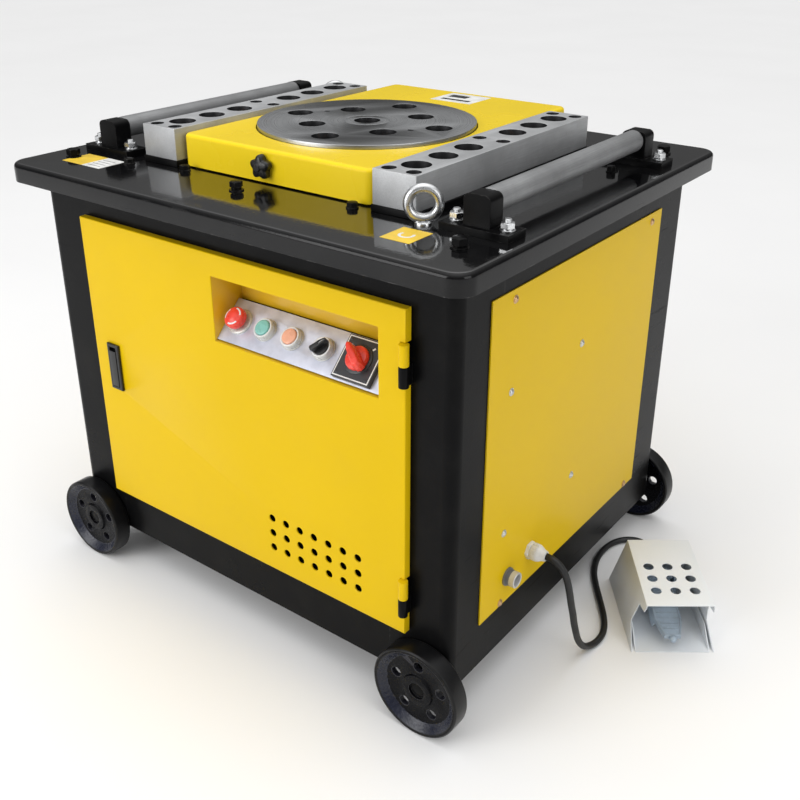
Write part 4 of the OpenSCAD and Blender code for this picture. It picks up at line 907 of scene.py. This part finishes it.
# ---- Wheels ---------------------------------------------------------------------------------------


WHEEL_X, AXLE_Z = 366, 73
TREAD_FROM, RIM_FROM, HUB_TO = 0.0665, 0.0555, 0.03  # radii between one finish and the next
HOLES_FROM, HOLES_TO, HOLE_FACET = 0.032, 0.0505, 0.00025


def make_wheel(name, x, y):
    """The CAD wheel with softened edges; tread, rim, web and hole walls get their own finishes."""
    bm = node_bmesh(name)
    bevel_edges(bm, sharp_edges(bm, 28.0), 0.0009, 2)
    centre = at(x, y, AXLE_Z)
    for face in bm.faces:
        away = face.calc_center_median() - centre
        radius = math.hypot(away.x, away.z)
        if radius > TREAD_FROM:
            face.material_index = 0
        elif radius > RIM_FROM:
            face.material_index = 1
        else:
            face.material_index = 2 if abs(face.normal.y) > 0.7 or radius < HUB_TO else 1
        if HOLES_FROM < radius < HOLES_TO and face.calc_area() < HOLE_FACET:
            face.material_index = 3
    finish_piece(name + "_cast", bm, [TREAD_IRON, RIM_IRON, WEB_IRON, HOLE_IRON], [name], smooth=35.0)


for side, x in (("left", -WHEEL_X), ("right", WHEEL_X)):
    make_wheel("wheel_front_" + side, x, -350)
    make_wheel("wheel_rear_" + side, x, 364)
rounded("wheel_axles", 0.0012, angle=50.0)

# ---- Foot pedal ------------------------------------------------------------------------------------


def make_foot_pedal():
    """Cast lever: raised rim, ribs across, flared skirts, tapered nose with a ball."""
    bm = bmesh.new()
    hinge = PEDAL @ Matrix.Translation(Vector((0, 48, 46)) * MM)
    lever = hinge @ Matrix.Rotation(math.radians(10), 4, "X")
    top = [(-22, 11), (22, 11), (22, -103), (13.5, -136), (-13.5, -136), (-22, -103)]
    outline = [(x * MM, y * MM) for x, y in top]
    prism(bm, outline, -4.5 * MM, 2.8 * MM, lever, 1.2 * MM, 3)
    inner = [(x * 0.86 * MM, (y * 0.97 - 1.5) * MM) for x, y in top]
    rim_low = [bm.verts.new(lever @ Vector((x, y, 2.6 * MM))) for x, y in outline]
    rim_top = [bm.verts.new(lever @ Vector((x * 0.97, y * 0.99, 4.4 * MM))) for x, y in outline]
    in_top = [bm.verts.new(lever @ Vector((x, y, 4.2 * MM))) for x, y in inner]
    in_low = [bm.verts.new(lever @ Vector((x * 0.97, y, 2.7 * MM))) for x, y in inner]
    for low, high in ((rim_low, rim_top), (rim_top, in_top), (in_top, in_low)):
        for k in range(6):
            bm.faces.new((low[k], low[(k + 1) % 6], high[(k + 1) % 6], high[k]))
    for k in range(11):
        y = -10 - 11 * k
        half = 17.5 if y > -98 else 17.5 - (-98 - y) * 0.25
        block(bm, Vector((-half, y - 1.6, 2.6)) * MM, Vector((half, y + 1.6, 4.4)) * MM, lever,
              0.7 * MM, 2)
    for s in (-1, 1):
        skirt = [(s * 18.5, -4), (s * 22, -4), (s * 25, -14), (s * 22.5, -14)]
        ends = [[bm.verts.new(lever @ (Vector((x, y, z)) * MM)) for x, z in skirt] for y in (0, -102)]
        for k in range(4):
            bm.faces.new((ends[0][k], ends[0][(k + 1) % 4], ends[1][(k + 1) % 4], ends[1][k]))
        bm.faces.new(ends[0])
        bm.faces.new(ends[1][::-1])
    ball = turned((0, 0, 1), lever @ (Vector((0, -140, 0.5)) * MM))
    lathe(bm, points((0, -6), (3, -5.2), (5.2, -3), (6, 0), (5.2, 3), (3, 5.2), (0, 6)), ball, steps=24)
    barrel = lever @ Matrix.Rotation(math.radians(90), 4, "Y")
    lathe(bm, points((4.05, -28), (8.4, -28), (9, -27.4), (9, 27.4), (8.4, 28), (4.05, 28), (4.05, -28)),
          barrel, steps=32)
    finish_piece("foot_pedal_cast", bm, PEDAL_CAST, ["foot_pedal"], smooth=35.0)


make_foot_pedal()
rounded("pedal_hood", 0.0006, angle=35.0, keep=lambda e: e.calc_length() > 0.02)
rounded("pedal_switch", 0.0016, angle=50.0)

# ---- Inside the cabinet ----------------------------------------------------------------------------

rounded("gearbox_housing", 0.003, segments=3, angle=50.0, keep=lambda e: e.calc_length() > 0.03)
rounded("electric_box", 0.0025, segments=3, angle=50.0, keep=lambda e: e.calc_length() > 0.06)
rounded("driven_pulley", 0.0008, angle=50.0)
rounded("worm_wheel", 0.0006, angle=50.0)


def make_motor():
    """Finned motor body with its fan cowl, foot and terminal box, round the CAD motor's axis."""
    bm = bmesh.new()
    axle = turned((1, 0, 0), at(0, 60, 265))
    lathe(bm, points((14.1, -230), (60, -230), (66, -226), (88, -222), (90, -214), (90, 68), (84, 70)),
          axle, steps=72)
    lathe(bm, points((84, 69), (91, 70), (91, 124), (88, 129), (60, 130), (0, 130)), axle, steps=72)
    for k in range(36):
        fin = axle @ Matrix.Rotation(math.radians(10 * k + 5), 4, "Z")
        block(bm, Vector((88, -1.4, -205)) * MM, Vector((95, 1.4, 60)) * MM, fin, 0.8 * MM, 2)
    for k in range(10):
        slot = axle @ Matrix.Rotation(math.radians(36 * k), 4, "Z")
        block(bm, Vector((28, -3, 129.2)) * MM, Vector((56, 3, 130)) * MM, slot, material=1)
    block(bm, at(-160, -50, 152), at(20, 170, 164), width=2 * MM)
    block(bm, at(-150, 10, 163), at(10, 110, 195), width=2 * MM)
    block(bm, at(-125, 12, 345), at(-15, 108, 396), width=4 * MM, segments=3)
    block(bm, at(-122, 15, 395.5), at(-18, 105, 405), width=2 * MM)
    finish_piece("motor_finned", bm, [GREY_PAINT, DARK_PLASTIC], ["motor_housing"], smooth=35.0)


make_motor()

# ---- Labels ----------------------------------------------------------------------------------------


def make_labels():
    """Plain stickers without any lettering, laid on the table and the cover."""
    bm = bmesh.new()
    z = TABLE_Z
    block(bm, at(-371, -316, z), at(-322, -264, z + 0.4), material=0)
    block(bm, at(-322, -316, z), at(-280, -264, z + 0.4), material=1)
    for k in range(4):
        block(bm, at(-318, -308 + 10 * k, z + 0.3), at(-288, -306.8 + 10 * k, z + 0.5), material=2)
    block(bm, at(273, -318, z), at(319, -267, z + 0.4), material=0)
    spot = Matrix.Translation(at(296, -292, z + 0.35))
    for a in range(0, 250, 10):
        corners = []
        for r, t in ((7.5, a), (11.5, a), (11.5, a + 10), (7.5, a + 10)):
            t = math.radians(t + 150)
            corners.append(bm.verts.new(spot @ (Vector((r * math.cos(t), r * math.sin(t), 0.15)) * MM)))
        bm.faces.new(corners).material_index = 1
    block(bm, at(-42, 232, COVER_Z), at(42, 304, COVER_Z + 0.4), material=1)
    block(bm, at(-30, 246, COVER_Z + 0.3), at(30, 256, COVER_Z + 0.5), material=2)
    block(bm, at(-30, 270, COVER_Z + 0.3), at(8, 290, COVER_Z + 0.5), material=2)
    finish_piece("plain_labels", bm, [MARK_YELLOW, MARK_WHITE, MARK_BLACK],
                 body="cabinet")


make_labels()

# ---- Stage and light -----------------------------------------------------------------------------


def make_stage():
    half = 14.0
    mesh = bpy.data.meshes.new("floor")
    mesh.from_pydata(
        [(-half, -half, -0.0005), (half, -half, -0.0005), (half, half, -0.0005), (-half, half, -0.0005)],
        [], [(0, 1, 2, 3)],
    )
    floor = bpy.data.objects.new("floor", mesh)
    bpy.context.scene.collection.objects.link(floor)
    n = Nodes("pale_floor")
    tone = n.span(n.noise(1.3, 3.0), 0.3, 0.7)
    colour = n.mix(tone, (0.87, 0.87, 0.87), (0.89, 0.89, 0.89))
    mesh.materials.append(n.done(Base_Color=colour, Roughness=0.7))


def make_light(name, place, target, size, power):
    data = bpy.data.lights.new(name, "AREA")
    data.size = size
    data.energy = power
    light = bpy.data.objects.new(name, data)
    bpy.context.scene.collection.objects.link(light)
    light.location = place
    light.rotation_euler = (Vector(target) - Vector(place)).to_track_quat("-Z", "Y").to_euler()


def make_world():
    """Light that is strong from overhead and weak near the horizon, as under a big ceiling panel."""
    world = bpy.data.worlds.new("studio")
    bpy.context.scene.world = world
    world.use_nodes = True
    tree = world.node_tree
    coords = tree.nodes.new("ShaderNodeTexCoord")
    split = tree.nodes.new("ShaderNodeSeparateXYZ")
    tree.links.new(coords.outputs["Generated"], split.inputs["Vector"])
    last = split.outputs["Z"]
    for operation, value in (("MAXIMUM", 0.0), ("POWER", 2.8), ("MULTIPLY", 2.1), ("ADD", 0.11)):
        step = tree.nodes.new("ShaderNodeMath")
        step.operation = operation
        tree.links.new(last, step.inputs[0])
        step.inputs[1].default_value = value
        last = step.outputs[0]
    background = tree.nodes["Background"]
    background.inputs["Color"].default_value = (1.0, 1.0, 1.0, 1.0)
    tree.links.new(last, background.inputs["Strength"])
    plain = tree.nodes.new("ShaderNodeBackground")  # what is seen past the floor's far edge
    plain.inputs["Color"].default_value = (1.0, 1.0, 1.0, 1.0)
    plain.inputs["Strength"].default_value = 0.97
    chosen = tree.nodes.new("ShaderNodeMixShader")
    tree.links.new(tree.nodes.new("ShaderNodeLightPath").outputs["Is Camera Ray"], chosen.inputs["Fac"])
    tree.links.new(background.outputs["Background"], chosen.inputs[1])
    tree.links.new(plain.outputs["Background"], chosen.inputs[2])
    tree.links.new(chosen.outputs["Shader"], tree.nodes["World Output"].inputs["Surface"])


bpy.context.scene.view_settings.view_transform = "Standard"
make_stage()
make_world()
make_light("key", (-1.4, -3.4, 1.7), (0.0, 0.0, 0.4), 2.2, 70.0)
make_light("fill", (3.4, -0.6, 1.6), (0.0, 0.0, 0.4), 1.8, 26.0)
